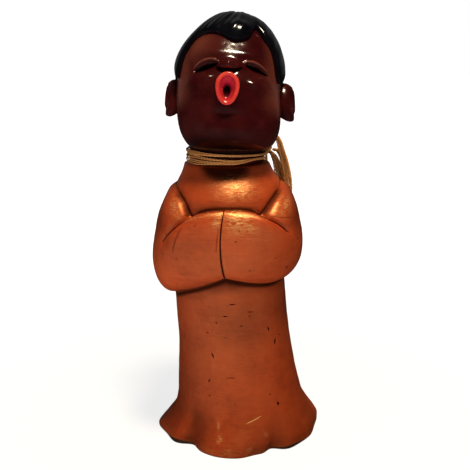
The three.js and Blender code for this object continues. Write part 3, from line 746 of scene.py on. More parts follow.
@dataclass
class Robe:
    """The hollow cast robe: an oval section at each height, with a waved hem.

    Skirt folds are angle, way out and half width. Glints, painted highlights, lie at an angle and a
    drop below the collar. A sleeve's inner and outer border each have a line of painted shade: its way
    down, its half width and that of the fainter one round it.
    """

    hem_radius: float = 29.3
    skirt_radius: float = 20.6
    chest_half_width: float = 18.2
    collar_radius: float = 14.6
    bore_depth: float = 6.4
    wall: float = 3.4
    foot_outer: float = 24.3
    foot_width: float = 3.6
    foot_edge: float = 0.4
    hem_step: float = 0.65
    wave_height: float = 15.0
    columns: int = 400
    rows: int = 190
    folds: tuple[Triple, ...] = ((252, 0.28, 9), (236, -0.3, 8), (292, -0.3, 10), (316, 0.22, 9))
    # Lines of painted shade along the sleeves' borders, and fainter painted shade round them, stronger below
    # the forearms at the front.
    border_lines: tuple[Triple, Triple] = ((0.0, 0.75, 1.7), (1.1, 1.05, 3.4))
    border_shade: float = 0.97
    haze_shade: float = 0.22
    front_haze: float = 0.45
    # The chin's painted shadow on the chest: its middle angle, half angle, drop and darkness.
    chin_angle: float = 268.0
    chin_half_angle: float = 36.0
    chin_drop: float = 4.6
    chin_shadow: float = 0.94
    # Darker towards the hem, most on the viewer's left.
    hem_dark: float = 0.17
    # Painted shade on the lower skirt.
    skirt_shade: float = 0.07
    # Painted highlights: a wide one high on the chest, and specks on the hem.
    glints: tuple[Glint, ...] = each(
        Glint,
        (278, 6.6, 20, 3.0, 0.8), (252.5, 94.5, 1.8, 1.1, 0.75), (260.4, 97.9, 2.4, 0.7, 0.75),
        (276.4, 97.7, 1.8, 0.7, 0.7), (289.5, 93.6, 1.4, 0.8, 0.7), (250, 90.5, 0.9, 1.6, 0.5),
    )
    waves: tuple[HemWave, ...] = each(
        HemWave,
        (184, 0.9, 0.4, 12), (203, -0.9, 0.0, 12), (218, 0.0, 1.6, 12),
        (230, -3.8, 0.2, 8.5), (243, -1.0, 0.0, 9), (283, -2.0, 0.0, 9),
        (297, -3.9, 0.2, 7.5), (311, -0.3, 1.3, 12), (322, -0.6, 0.2, 12),
        (352, -0.7, 0.5, 14), (12, 1.5, 2.0, 16), (52, -2.6, 0.4, 10),
        (96, 0.6, 1.6, 18), (140, -2.4, 0.4, 10),
    )

    def stations(self) -> Array:
        """Rows of height, half width, half depth and centre of the oval section."""
        hem, skirt, top, collar = self.hem_radius, self.skirt_radius, COLLAR_HEIGHT, self.collar_radius
        return np.array([
            [0, hem, hem, 0.2, 0],
            [3, hem - 1.6, hem - 1.4, 1, 0],
            [8, hem - 4.4, hem - 4.2, 1.5, 0],
            [13, 23.2, 22.9, 0.8, 0],
            [20, skirt + 1.5, skirt + 0.9, 0, -0.1],
            [34, skirt, skirt - 0.9, -1.2, -0.6],
            [top - 49.9, skirt - 0.6, skirt - 1.5, -2.5, -1.9],
            [top - 33.9, 19.2, 19.7, -3.4, -4.4],
            [top - 19.9, self.chest_half_width, 19.1, -3.5, -5.9],
            [top - 13.9, 18.4, 18.7, -3.3, -6.5],
            [top - 9.9, 18.5, 17.7, -3.2, -6.5],
            [top - 6.4, collar + 3.1, 16.5, -3.3, -5.9],
            [top - 2.9, collar + 1.1, 14.9, -3.6, -4.9],
            [top, collar, collar - 0.9, *COLLAR_AXIS],
        ])

    def point(self, angle: Array, height: Values, offset: Values = 0.0) -> Array:
        """Point of the outside, moved outwards by an offset.

        It lies at centre + (half size + offset + waves' pull) times (cos, sin) of the angle.
        The waves fade with the square of 1 - height / wave_height.

        Args:
            angle: Angles round the robe.
            height: Heights, in the shape of the angles, or one height.
            offset: Way outwards.

        Returns:
            Points, in the shape of the angles with a last axis of 3.
        """
        height = np.broadcast_to(height, np.shape(angle))
        rows = self.stations()
        half_width, half_depth, x, y = (smooth_through(rows[:, [0, k]], height) for k in range(1, 5))
        fade = np.maximum(0, 1 - height / self.wave_height) ** 2
        bells = [spread(turn_between(angle, wave.angle), wave.spread) for wave in self.waves]
        out = offset + fade * sum(wave.out * bell for wave, bell in zip(self.waves, bells))
        lift = fade * sum(wave.lift * bell for wave, bell in zip(self.waves, bells))
        return oval(x, y, half_width + out, half_depth + out, angle, height + lift)

    def underside(self, angle: Array, offset: float, height: float) -> Array:
        """The hem's outline, moved outwards by an offset and put at one height."""
        outline = self.point(angle, 0.0, offset)
        outline[:, 2] = height
        return outline

    def relief(self, angle: Array, height: Array) -> Array:
        """Hand-cast unevenness: soft upright folds on the skirt and a shallow ripple all over."""
        base = self.point(angle, height)
        skirt = ease(4, 16, height) * (1 - ease(50, 66, height))
        folds = sum(out * spread(turn_between(angle, middle), wide) for middle, out, wide in self.folds)
        fade = ease(0, 3, height) * (1 - ease(96, 99, height))
        return skirt * folds + fade * (0.16 * unevenness(base, 19, 3) + 0.05 * unevenness(base, 5.5, 4))

    def seams(self, angle: Array, height: Array, sleeves: "Sequence[Sleeve]") -> Array:
        """Painted shade and darkening, from 0 to 1: by the sleeves, the chin's shadow, on the skirt and
        towards the hem.

        Round each border lies a line of painted shade, a bell of its width, inside a wider and fainter one.
        The one below the forearms, their painted shadow, is widest at the front.

        Args:
            angle: Angles round the robe.
            height: Heights, in the shape of the angles.
            sleeves: The sleeves, whose borders are given as angle and drop below the collar.

        Returns:
            Darkness, in the shape of the angles.
        """
        arc = math.radians(PAINT_RADIUS)
        dark = np.zeros_like(height)
        borders = [pair for s in sleeves for pair in zip((s.inner, s.outer), self.border_lines)]
        # Painted shade along each sleeve border; below the forearms at the front it is their painted shadow.
        for border, (low, thin, wide) in borders:
            line = even_spline(border, np.linspace(0.12, 1, 40)) * (arc, -1) + (0, COLLAR_HEIGHT - low)
            turns = line[:, 0].mean() / arc
            gap, share = distance_to_line((turns + turn_between(angle, turns)) * arc, height, line)
            front = spread(turn_between(angle, 269), 15) * min(low, 1.0)
            core = self.border_shade * spread(gap, thin * (1 + 0.8 * front))
            haze = (self.haze_shade + self.front_haze * front) * spread(gap, wide)
            dark = np.maximum(dark, np.maximum(core, haze) * ease(0.0, 0.12, share))
        # Painted shadow of the chin on the chest, just below the collar.
        aside = turn_between(angle, self.chin_angle) / self.chin_half_angle
        from_chin = np.hypot(aside, (COLLAR_HEIGHT - height) / self.chin_drop)
        dark = np.maximum(dark, self.chin_shadow * (1 - ease(0.6, 1.15, from_chin)))
        # Darker towards the hem, most round 226 degrees and less round 252.
        hem_darkening = self.hem_dark + 0.22 * spread(turn_between(angle, 226), 14)
        hem_darkening = hem_darkening - 0.15 * spread(turn_between(angle, 252), 8)
        hem_darkening = hem_darkening * (1 - ease(7, 19, height)) * ease(216, 228, angle)
        # Painted shade on the lower skirt, left off round 248 degrees, where a fold catches the light.
        shade = self.skirt_shade * (1 - ease(50, 66, height)) * (1 - spread(turn_between(angle, 248), 20))
        return np.maximum(dark, hem_darkening + shade)

    def build(self, place: Place, sleeves: "Sequence[Sleeve]") -> Piece:
        """Makes the robe from its neck hole, down the outside, round the foot and up inside."""
        top, foot, edge = COLLAR_HEIGHT, self.foot_outer, self.foot_edge
        bore, inside = SPIGOT_RADIUS + CLEARANCE, foot - self.foot_width
        angles = whole_turn(self.columns)
        heights = top - 0.4 - (top - 0.7) * np.linspace(0, 1, self.rows) ** 0.9
        grid = np.meshgrid(angles, heights)
        hem, collar = self.stations()[[0, -1], 3:]
        first = [oval(*collar, bore, bore, angles, z) for z in (top - self.bore_depth, top)]
        first.append(self.point(angles, top, -0.5))
        rim = self.point(angles, 0.05, -0.05)
        last = [rim, rim - (0, 0, 0.04)]
        last += [self.underside(angles, *step) for step in ((-0.1, 0.2), (-self.hem_step, 0.1))]
        ring = ((foot, edge), (foot - edge, 0), (inside, 0), (inside, 4))
        last += [oval(*hem, radius, radius, angles, z) for radius, z in ring]
        last += [self.point(angles, z, -self.wall) for z in (12, 20, 34, *np.linspace(50, 90, 9))]
        rings = np.concatenate([first, self.point(*grid, self.relief(*grid)), last])
        v = np.concatenate([rings[..., 2].mean(axis=1), [top - self.bore_depth]]) / PAINT_HEIGHT
        bare, crease = np.zeros(rings.shape[:2]), np.zeros(rings.shape[:2])
        bare[:1] = bare[len(first) + self.rows + 1:] = 1
        # Painted shade and the darker hem go onto the outside as crease.
        crease[len(first):len(first) + self.rows] = self.seams(*grid, sleeves)
        return skin("robe", place, rings, uv_grid(self.columns, v), True, {
            "crease": crease, "gold_rub_and_highlight": self._gold_edge_and_highlights(rings, angles), "bare": bare,
        })

    def _gold_edge_and_highlights(self, rings: Array, angles: Array) -> Array:
        """Where gold is painted: a thin painted highlight along the hem's edge, and painted highlights in
        specks on the hem and high on the chest.
        """
        gold_rub_and_highlight = spread(rings[..., 2] - 0.9, 0.9) * 0.12
        for glint in self.glints:
            drop = COLLAR_HEIGHT - rings[..., 2] - glint.y
            gold_rub_and_highlight = glint.over(gold_rub_and_highlight, turn_between(angles, glint.x), drop)
        return gold_rub_and_highlight


@dataclass(frozen=True)
class Fold:
    """A fold in a sleeve between two places along and across it, with its half width in mm."""

    start: tuple[float, float]
    end: tuple[float, float]
    depth: float
    width: float


@dataclass
class Sleeve:
    """A folded sleeve laid on the robe, between an inner and an outer border.

    The borders run from the shoulder to the cuff, as angle and drop below the collar. The bulge
    is the height over the robe at even steps between them. Glints, which are painted highlights,
    and folds lie at shares along and across, and folds are measured on a flat sleeve of the given length and
    girth.
    """

    name: str
    node: str
    inner: Pairs
    outer: Pairs
    bulge: tuple[float, ...]
    cuff_shift: float
    folds: tuple[Fold, ...]
    glints: tuple[Glint, ...]
    fullness: float = 2.6
    crease_depth: float = 2.6
    crease_spread: float = 0.035
    crease_reach: float = 0.42
    crease_lean: float = 0.3
    cuff_bow: float = -2.5
    seat_gap: float = 0.12
    shoulder_lip: float = 0.2
    # Strength of the painted shade along the borders, on the upper arm's side and along the lower edge, and
    # of the painted highlights along the edge and at the cuff.
    border_shade: float = 0.9
    upper_arm_shade: float = 0.4
    lower_edge_shade: float = 0.24
    edge_highlight: float = 0.3
    cuff_highlight: float = 0.1
    rows: int = 220
    columns: int = 110
    length: float = 76.0
    girth: float = 34.0

    def height(self, along: Array, across: Array) -> Array:
        """Height over the robe: bulge times a superellipse across, less the elbow crease.

        Args:
            along: Place from the shoulder to the cuff, 0 to 1.
            across: Place from the inner to the outer border, 0 to 1.

        Returns:
            Heights in millimetres.
        """
        knots = [(i / (len(self.bulge) - 1), value) for i, value in enumerate(self.bulge)]
        swell = smooth_through(knots, along) * dome(2 * across - 1, self.fullness)
        fade = np.maximum(0, 1 - across / self.crease_reach)
        from_crease = along - 0.5 - self.crease_lean * across
        crease = self.crease_depth * spread(from_crease, self.crease_spread) * fade
        return np.maximum(0, swell - crease)

    def border(self, along: Array, over: Array) -> Array:
        """Height that the sleeve starts with at its borders, nearly flush by the shoulder."""
        lip = EDGE * np.sqrt(ease(0, 0.02, np.minimum(over, 1 - over))) + CLEARANCE
        inner_end = (1 - ease(0.04, 0.2, along)) * (1 - ease(0, 0.3, over))
        lip = lip - (lip - self.shoulder_lip) * np.maximum(inner_end, 1 - ease(0, 0.11, along))
        below_arm = ease(0.985, 1.0, over) * (1 - ease(0.42, 0.55, along))
        return lip - 0.7 * ease(0.08, 0.0, along) - 0.55 * below_arm

    def fold_depth(self, along: Array, across: Array) -> tuple[Array, Array]:
        """Depth of the thin folds, each a bell across its line, and the painted shade along them."""
        depth, dark = np.zeros_like(along), np.zeros_like(along)
        for fold in self.folds:
            ends = np.array([fold.start, fold.end]) * (self.length, self.girth)
            gap, share = distance_to_line(along * self.length, across * self.girth, ends)
            line = spread(gap, fold.width) * tapered(share, 0.3)
            depth = np.maximum(depth, fold.depth * line)
            dark = np.maximum(dark, line * min(1.0, fold.depth / 0.6))
        return depth, dark

    def paint(self, along: Array, over: Array, folds: Array) -> tuple[Array, Array]:
        """Painted shade and painted highlights of the outside.

        Args:
            along: Place from the shoulder to the cuff, 0 to 1.
            over: Place from the inner to the outer border, 0 to 1.
            folds: Painted shade along the thin folds.

        Returns:
            Painted shade, the most of folds, borders, cuff, upper arm and lower edge, and painted
            highlights.
        """
        # Painted shade along the borders, at the cuff's end, on the upper arm's side and along the forearm's
        # lower edge.
        border = self.border_shade * spread(np.minimum(over, 1 - over), 0.012) * ease(0.1, 0.25, along)
        upper_arm = self.upper_arm_shade * (1 - ease(0.42, 0.6, along)) * ease(0.1, 0.34, over)
        lower_edge = self.lower_edge_shade * ease(0.86, 1.0, over) * ease(0.5, 0.7, along)
        dark = np.maximum.reduce([folds, border, ease(0.994, 1.0, along), upper_arm, lower_edge])
        # Painted highlights along the inner border, at the cuff and at the glints.
        gold_rub_and_highlight = spread(over - 0.045, 0.03) * ease(0.05, 0.3, along) * self.edge_highlight
        gold_rub_and_highlight = gold_rub_and_highlight + spread(along - 0.985, 0.006) * self.cuff_highlight
        for glint in self.glints:
            gold_rub_and_highlight = glint.over(gold_rub_and_highlight, along - glint.x, over - glint.y)
        return dark, gold_rub_and_highlight

    def build(self, robe: Robe, place: Place) -> Piece:
        """Makes the closed sleeve: its outside, and its seat close over the robe's plain form."""
        share = np.linspace(0, 1, self.rows)
        across = (1 - np.cos(np.linspace(0, math.pi, self.columns))) / 2
        along, over = np.meshgrid(share, across, indexing="ij")
        inner, outer = (even_spline(line, share)[:, None] for line in (self.inner, self.outer))
        spot = inner + (outer - inner) * across[:, None]
        bow = self.cuff_bow * (1 - (2 * over - 1) ** 2) * along**2
        angle, height = spot[..., 0] + self.cuff_shift * along + bow, COLLAR_HEIGHT - spot[..., 1]
        base = robe.point(angle, height)
        cast = 0.13 * unevenness(base, 15, 5) + 0.05 * unevenness(base, 5, 6)
        cast = cast * ease(0, 0.12, np.minimum(over, 1 - over))
        depth, folds = self.fold_depth(along, over)
        rise = self.border(along, over) + self.height(along, over) + cast - depth
        top, seat = robe.point(angle, height, rise), robe.point(angle, height, self.seat_gap)
        dark, gold_rub_and_highlight = self.paint(along, over, folds)
        uv = stacked(angle / 360, height / PAINT_HEIGHT)
        uv = self.wrapped(uv, uv, uv)
        uv = np.concatenate([uv, uv[:, :1]], axis=1)
        plain = np.zeros_like(dark)
        # Painted shade goes on as crease, full on the hidden seat, and painted highlights beside it.
        return skin(self.name, place, self.wrapped(top, seat, seat), uv, False, {
            "crease": self.wrapped(dark, plain + 1, dark), "gold_rub_and_highlight": self.wrapped(gold_rub_and_highlight, plain, gold_rub_and_highlight),
            "bare": self.wrapped(plain, plain, plain),
        })

    @staticmethod
    def wrapped(outside: Array, seat: Array, ends: Array) -> Array:
        """Rings of the outside and, turned round, the seat, with one more ring at both ends."""
        rings = np.concatenate([outside, seat[:, ::-1]], axis=1)
        caps = np.concatenate([ends, seat[:, ::-1]], axis=1)
        return np.concatenate([caps[:1], rings, caps[-1:]])


# Head, hair, ears and lips


# Paints on the head: eyes and mouth; painted sheen on the face's sides, brow and lids; painted shade under
# the nose and chin; and painted shade in the mouth's hole.
FACE_PAINTS = ("eye", "shade", "mouth", "throat", "warm")


def crowded(count: int) -> Array:
    """Azimuths round the head, closer together over the face: turn - 44 sin(turn)."""
    turn = whole_turn(count) - 180
    return turn - 44 * sind(turn)


@dataclass(frozen=True)
class FaceForm:
    """A soft raised or sunk form on the head, in degrees and millimetres."""

    azimuth: float
    elevation: float
    out: float
    wide: float
    high: float

    def bell(self, azimuth: Array, elevation: Array, flat: Values = 1.0) -> Array:
        """Height of the form: out times a bell across, at the cosine flat, and a bell up."""
        across = turn_between(azimuth, self.azimuth) * flat
        return self.out * spread(across, self.wide) * spread(elevation - self.elevation, self.high)


@dataclass(frozen=True)
class FaceLine:
    """A thin raised or sunk line on the head through points of azimuth and elevation."""

    points: Pairs
    out: float
    width: float
    paint: str = ""


@dataclass
class Head:
    """The head: an egg-shaped form with features, tilted back so that the face looks up.

    The forms are brows, eye hollows, lids, nose, cheeks, mouth and its hollow, chin, jaw, skull
    and forehead, then small swells and dents. The lines are eye slits, lids with painted highlights,
    cheek folds, the painted shade below the nose and the chin's crease.
    """

    centre: Triple = (-3.1, -4.0, 127.0)
    tilt: float = 25.0
    roll: float = 4.0
    half_width: float = 17.5
    half_depth: float = 18.8
    skull_height: float = 22.2
    jaw_depth: float = 26.5
    jaw_fullness: float = 2.75
    jaw_bottom: float = 105.4
    jaw_softness: float = 0.5
    mouth_half_size: tuple[float, float] = (8.2, 12.2)
    throat_half_size: tuple[float, float] = (4.2, 5.4)
    columns: int = 380
    rows: int = 250
    forms: tuple[FaceForm, ...] = each(
        FaceForm,
        (22, 7, 0.7, 15, 5), (-22, 7, 0.7, 15, 5),
        (26, -6, -1.3, 11, 6), (-24, -7, -1.3, 11, 6),
        (26, -4, 1.1, 9, 3.6), (-24, -5, 1.1, 9, 3.6),
        (-1.5, -6.5, 2.9, 6.5, 5),
        (7.5, -8.5, 1.3, 4, 3.6), (-9.5, -8.5, 1.3, 4, 3.6),
        (32, -20, 1.3, 15, 10), (-32, -20, 1.3, 15, 10),
        (-1, -26, 1.8, 14, 14),
        (-1, -27, -3.0, 6, 8.5), (-1.5, -28.5, -3.2, 2.8, 4.2),
        (1, -47, -0.7, 12, 4),
        (0, -58, 0.9, 20, 8),
        (75, -50, 3, 30, 20), (-80, -54, 0.5, 30, 14),
        (-80, 50, -1.2, 44, 24), (70, 55, 0.5, 40, 20),
        (3, 32, -0.6, 12, 20), (-21, -17.5, 0.8, 4.5, 2.8), (24, -21, 0.8, 5, 2.8),
        (-7, 17, -0.05, 2.2, 2), (2, 16, -0.05, 2.2, 2), (10, 17, -0.05, 2.2, 2),
    )
    lines: tuple[FaceLine, ...] = each(
        FaceLine,
        (((-39, -10.2), (-30, -8.0), (-22, -6.2), (-12, -4.6)), -1.3, 3.3, "eye"),
        (((16, -3.8), (24, -5.0), (32, -5.9), (44, -7.8)), -1.2, 2.7, "eye"),
        # Lids, lighter along their rims: painted highlights.
        (((-40, -7.0), (-33, -2.0), (-25, 0.4), (-17, 0.2), (-11, -2.6)), 0.5, 1.2, "warm"),
        (((12.5, -3.2), (17, -0.2), (24, 0.6), (32, -0.8), (42, -4.0)), 0.5, 1.2, "warm"),
        (((-45, -19.5), (-36, -15), (-26, -13.4)), 0.5, 1.5),
        (((49, -19.5), (40, -15), (30, -13.6)), 0.5, 1.5),
        # Sunk below the nose and painted with shade.
        (((-13.5, -8.0), (-10, -10.8), (-1.5, -12.2), (7, -10.8), (11.5, -7.6)), -0.9, 2.4, "shade"),
        (((-12, -46.5), (0, -48), (10, -46)), -0.45, 1.8),
    )

    def turned(self, points: Array) -> Array:
        """Points of the head's frame in the figurine's: tilted back, rolled, then moved."""
        (a, b), (c, d) = ((cosd(angle), sind(angle)) for angle in (-self.tilt, self.roll))
        tilt = np.array([[1, 0, 0], [0, a, -b], [0, b, a]])
        roll = np.array([[c, 0, d], [0, 1, 0], [-d, 0, c]])
        return points @ (roll @ tilt).T + np.asarray(self.centre)

    def radius(self, azimuth: Array, elevation: Array) -> Array:
        """Distance of the plain head from its centre: an oval, fuller below, plus the forms.

        The oval is (level^p + upright^p)^(-1/p), with p 2 above and jaw_fullness below.
        """
        side, back, up = np.moveaxis(facing(azimuth, elevation), -1, 0)
        level = np.hypot(side / self.half_width, back / self.half_depth)
        power = np.where(up > 0, 2.0, self.jaw_fullness)
        upright = np.abs(up) / np.where(up > 0, self.skull_height, self.jaw_depth)
        radius = (level**power + upright**power) ** (-1 / power)
        return radius + sum(form.bell(azimuth, elevation, cosd(elevation)) for form in self.forms)

    def point(self, azimuth: Array, elevation: Array, offset: Values = 0.0) -> Array:
        """Point of the plain head in its own frame, moved outwards by an offset."""
        return facing(azimuth, elevation) * (self.radius(azimuth, elevation) + offset)[..., None]

    def laid(self, azimuth: Array, elevation: Array, rise: Array, seat: float = 0.05) -> Array:
        """Rings of a piece laid on the head: its outside at a rise, then its seat, turned round."""
        outside = self.point(azimuth, elevation, rise)
        inside = self.point(azimuth[::-1], elevation[::-1], seat)
        return self.turned(np.concatenate([outside, inside]))

    def degrees(self, azimuth: float, elevation: float, offset: float = 0.0) -> float:
        """Degrees for a millimetre at one place of the head."""
        place = self.point(np.array(azimuth), np.array(elevation), offset)
        return 180 / (math.pi * np.linalg.norm(place))

    def line_relief(self, azimuth: Array, elevation: Array) -> tuple[Array, dict[str, Array]]:
        """Height of the thin lines, and masks of the paints, here those of the painted lines."""
        flat = cosd(elevation)
        total = np.zeros_like(azimuth)
        masks = {key: np.zeros_like(azimuth) for key in FACE_PAINTS}
        for line in self.lines:
            points = even_spline(line.points, np.linspace(0, 1, 17))
            middle = cosd(points[:, 1].mean())
            gap, share = distance_to_line(azimuth * flat, elevation, points * (middle, 1))
            taper = tapered(share, 0.55)
            total = total + line.out * spread(gap, line.width) * taper
            if line.paint:
                inside = 1 - ease(0.55, 0.9, gap / (line.width * taper + 0.05))
                masks[line.paint] = np.maximum(masks[line.paint], inside)
        return total, masks

    def build(self, place: Place) -> Piece:
        """Makes skull and face as one closed surface, and the neck with its spigot below it.

        Heights are held softly above jaw_bottom: bottom + softness ln(1 + e^(depth)), where depth
        is the height over the bottom, divided by the softness.
        """
        elevations = self._rows()
        azimuth, elevation = np.meshgrid(crowded(self.columns), elevations)
        thin, masks = self.line_relief(azimuth, elevation)
        skull = self.turned(self.point(azimuth, elevation, thin))
        depth = (skull[..., 2] - self.jaw_bottom) / self.jaw_softness
        skull[..., 2] = self.jaw_bottom + self.jaw_softness * np.logaddexp(0, depth)
        across, up = turn_between(azimuth, -1) * cosd(elevation), elevation + 26.5
        # Painted sheen on the sides of the face and on the brow, where the light falls.
        sides = 0.75 * ease(32, 62, np.abs(turn_between(azimuth, -2))) * ease(-44, -26, elevation)
        brow = 0.7 * spread(np.hypot(turn_between(azimuth, -40), elevation - 22), 20)
        masks["warm"] = np.maximum.reduce([sides, brow, masks["warm"]])
        wide, high = self.mouth_half_size
        masks["mouth"] = 1 - ease(0.8, 1.05, np.hypot(across / wide, up / high))
        # Painted shade in the hole of the mouth.
        wide, high = self.throat_half_size
        masks["throat"] = 1 - ease(0.6, 1.15, np.hypot((across + 0.4) / wide, (up + 4.4) / high))
        # Painted shade under the chin.
        masks["shade"] = np.maximum(masks["shade"], 0.85 * ease(-56, -68, elevation))
        uv = uv_grid(self.columns, (elevations + 90) / 180)
        face = skin("head", place, skull, uv, False, masks)
        self._join(face, self._neck(place))
        return face

    def _rows(self) -> Array:
        """Elevations from below to the crown, three times as close over the face."""
        weight = 1 / (1 + 2.4 * spread(np.linspace(-90, 90, 721) + 20, 36))
        run = np.concatenate([[0], np.cumsum(1 / weight[1:])])
        return np.interp(np.linspace(0, run[-1], self.rows), run, np.linspace(-90, 90, 721))

    def _neck(self, place: Place, columns: int = 96) -> Piece:
        """Makes the neck and its spigot, a profile turned about the collar's axis."""
        seat, radius, spigot = COLLAR_HEIGHT + CLEARANCE, NECK_RADIUS, SPIGOT_RADIUS
        profile = np.array([
            [0, seat - 7], [spigot - 0.4, seat - 7], [spigot, seat - 6.6], [spigot, seat],
            [radius - 0.3, seat], [radius, seat + 0.3], [radius, seat + 6],
            [radius - 0.6, seat + 8.4], [0, seat + 8.8],
        ])
        r, z = profile[:, :1], profile[:, 1:]
        rings = oval(*COLLAR_AXIS, r, r, whole_turn(columns), z)
        masks = dict.fromkeys(FACE_PAINTS, np.zeros(rings.shape[:2]))
        return skin("neck", place, rings, np.zeros((len(profile), columns + 1, 2)), False, masks)

    @staticmethod
    def _join(piece: Piece, other: Piece) -> None:
        """Joins another mesh into a piece and removes its object."""
        build = bmesh.new()
        build.from_mesh(piece.data)
        build.from_mesh(other.data)
        build.to_mesh(piece.data)
        build.free()
        spare = other.data
        bpy.data.objects.remove(other)
        bpy.data.meshes.remove(spare)


@dataclass
class Hair:
    """The raised hair: a cap over the head down to its hairline, combed into locks."""

    seat_gap: float = 0.55
    inside: float = 0.1
    thickness: float = 1.3
    edge: float = 0.5
    comb: float = 0.07
    columns: int = 420
    rows: int = 120
    hairline: Pairs = (
        (-180, -27), (-130, -27), (-118, -18), (-107, -3), (-97, 7), (-86, 7), (-76, 0), (-66, -8),
        (-59, 10), (-47, 28.5), (-30, 33), (-15, 29.5), (5, 21), (18, 27), (30, 42), (39, 30), (48, 21),
        (56, -2), (66, -8), (76, 0), (86, 8), (97, 8), (107, -3), (112, -19), (119, -29), (127, -31),
        (142, -27), (180, -27),
    )
    forelock: FaceForm = FaceForm(6, 32, 1.7, 14, 11)

    def locks(self, azimuth: Array, elevation: Array) -> Array:
        """Combed locks from -1 to 1: waves round the crown that swirl as they run down."""
        swirl = azimuth + 0.55 * (90 - elevation) + 9 * sind(azimuth * 2 + 40)
        broad = sind(swirl * 11)
        narrow = sind(swirl * 29 + 40 * sind(elevation * 3))
        return 0.62 * broad + 0.38 * narrow

    def build(self, head: Head, place: Place) -> Piece:
        """Makes the closed cap: its outside with locks, and its inside over the head."""
        azimuths = crowded(self.columns)
        share = 1 - (1 - np.linspace(0, 1, self.rows)[:, None]) ** 1.35
        elevation = 90 - (90 - smooth_through(self.hairline, azimuths)) * share
        azimuth = np.broadcast_to(azimuths, elevation.shape)
        strands = self.locks(azimuth, elevation)
        comb = strands * self.comb * ease(1.0, 0.9, share) * ease(0.04, 0.25, share)
        comb = comb * (1 + 2 * spread(turn_between(azimuth, 8), 16))
        full = self.thickness + self.forelock.bell(azimuth, elevation)
        rise = self.seat_gap + self.edge + (full - self.edge) * dome(share, 16) + comb
        v = np.concatenate([share, 2 - share[::-1]])[:, 0] / 2
        fields = {"strand": np.concatenate([strands * 0.5 + 0.5, np.zeros_like(strands)])}
        rings = head.laid(azimuth, elevation, rise, self.inside)
        return skin("hair", place, rings, uv_grid(self.columns, v), False, fields)


@dataclass
class Ear:
    """An ear pressed onto the side of the head: a rim round a hollow shell."""

    name: str
    side: int
    elevation: float
    reach: float
    half_height: float
    azimuth: float = 93.0
    half_width: float = 3.6
    hollow: float = 2.4
    columns: int = 96
    rows: int = 42

    def build(self, head: Head, place: Place) -> Piece:
        """Makes the ear over an oval patch of the head, by the way round and the share out."""
        turn = whole_turn(self.columns)
        share = np.linspace(0, 1, self.rows)[:, None]
        degrees = head.degrees(self.side * self.azimuth, self.elevation, self.reach / 2)
        forward, up = cosd(turn) * share, sind(turn) * share
        azimuth = self.side * (self.azimuth - forward * self.half_width * degrees)
        elevation = self.elevation + up * self.half_height * degrees
        rim = self.reach * (1 - 0.35 * np.maximum(0, forward)) * (1 - 0.2 * up)
        shell = self.hollow * spread(forward - 0.25, 0.45) * spread(up - 0.05, 0.5)
        helix = 0.45 * spread(share - 0.8, 0.13) * ease(0.9, -0.2, forward)
        from_fold = np.hypot(forward - 0.15, up - 0.1) - 0.48
        fold = 0.7 * spread(from_fold, 0.1) * ease(0.5, -0.1, forward)
        rise = CLEARANCE + EDGE + (rim - EDGE - shell + helix + fold) * dome(share, 4)
        rings = head.laid(azimuth, elevation, rise)
        masks = dict.fromkeys(FACE_PAINTS, np.zeros(rings.shape[:2]))
        return skin(self.name, place, rings, None, False, masks)


@dataclass
class Lips:
    """The raised ring of lips round the open mouth."""

    azimuth: float = -1.0
    elevation: float = -26.5
    half_width: float = 3.5
    half_height: float = 4.9
    band: float = 1.5
    height: float = 1.5
    edge: float = 0.4
    columns: int = 144
    rows: int = 30

    def build(self, head: Head, place: Place) -> Piece:
        """Makes the ring over the head, rounded from its inner to its outer border."""
        degrees = head.degrees(self.azimuth + 10, self.elevation)
        turn = whole_turn(self.columns)
        share = np.linspace(0, 1, self.rows)[:, None]
        narrow = self.band * (1 - share)
        egg = 1 + 0.05 * cosd(2 * turn) + 0.03 * sind(3 * turn)
        across = squared(cosd(turn)) * (self.half_width - narrow) * degrees * egg
        azimuth = self.azimuth + across / cosd(self.elevation)
        elevation = self.elevation + squared(sind(turn)) * (self.half_height - narrow) * degrees
        full = self.height * (1 + 0.12 * sind(turn) ** 2 - 0.1 * spread(sind(turn) - 1, 0.25))
        rise = self.edge + (full - self.edge) * dome(2 * share - 1, 2.4) + CLEARANCE
        rings = head.laid(azimuth, elevation, rise)
        inner = np.zeros(rings.shape[:2])
        inner[:self.rows] = ease(0.35, 0.0, share)
        return skin("lips", place, rings, None, True, {"inner": inner})


# Cords


@dataclass
class Twist:
    """A cord of twisted plies along a line.

    Its plies lie round the middle and touch each other, and turn once round it each pitch.
    """

    line: Array
    diameter: float
    plies: int
    pitch: float
    sides: int = 8

    def carried_frames(self) -> tuple[Array, Array]:
        """Two normals at each point of the line, carried along without turning."""
        tangent = unit(np.gradient(self.line, axis=0))
        first = [unit(np.cross(tangent[0], [0.3, 0.1, 1.0]))]
        for way in tangent[1:]:
            first.append(unit(first[-1] - way * (first[-1] @ way)))
        return np.array(first), np.cross(tangent, np.array(first))

    def rings(self) -> list[Array]:
        """Rings of every ply, whose middle circles the line once each pitch.

        A ply's radius is diameter / 2 / (1 + k), and its middle lies k radii off the line, where
        k is 1 / sin(pi / plies).

        Returns:
            One array of rings for each ply, with rounded ends.
        """
        first, second = self.carried_frames()
        ratio = 1 / math.sin(math.pi / self.plies)
        radius = self.diameter / 2 / (1 + ratio)
        run = run_of(self.line)
        end = np.clip(np.minimum(run, run[-1] - run) / radius, 0, 1)
        size = radius * np.sqrt(np.clip(1 - (1 - end) ** 2, 0, 1))[:, None, None]
        around = whole_turn(self.sides)[None, :, None]
        found = []
        for k in range(self.plies):
            turn = 360 * (k / self.plies + run / self.pitch)[:, None]
            middle = self.line + radius * ratio * (cosd(turn) * first + sind(turn) * second)
            way = unit(np.gradient(middle, axis=0))
            a = unit(first - way * np.sum(first * way, axis=1, keepdims=True))
            b = np.cross(way, a)
            found.append(middle[:, None] + size * (cosd(around) * a[:, None] + sind(around) * b[:, None]))
        return found


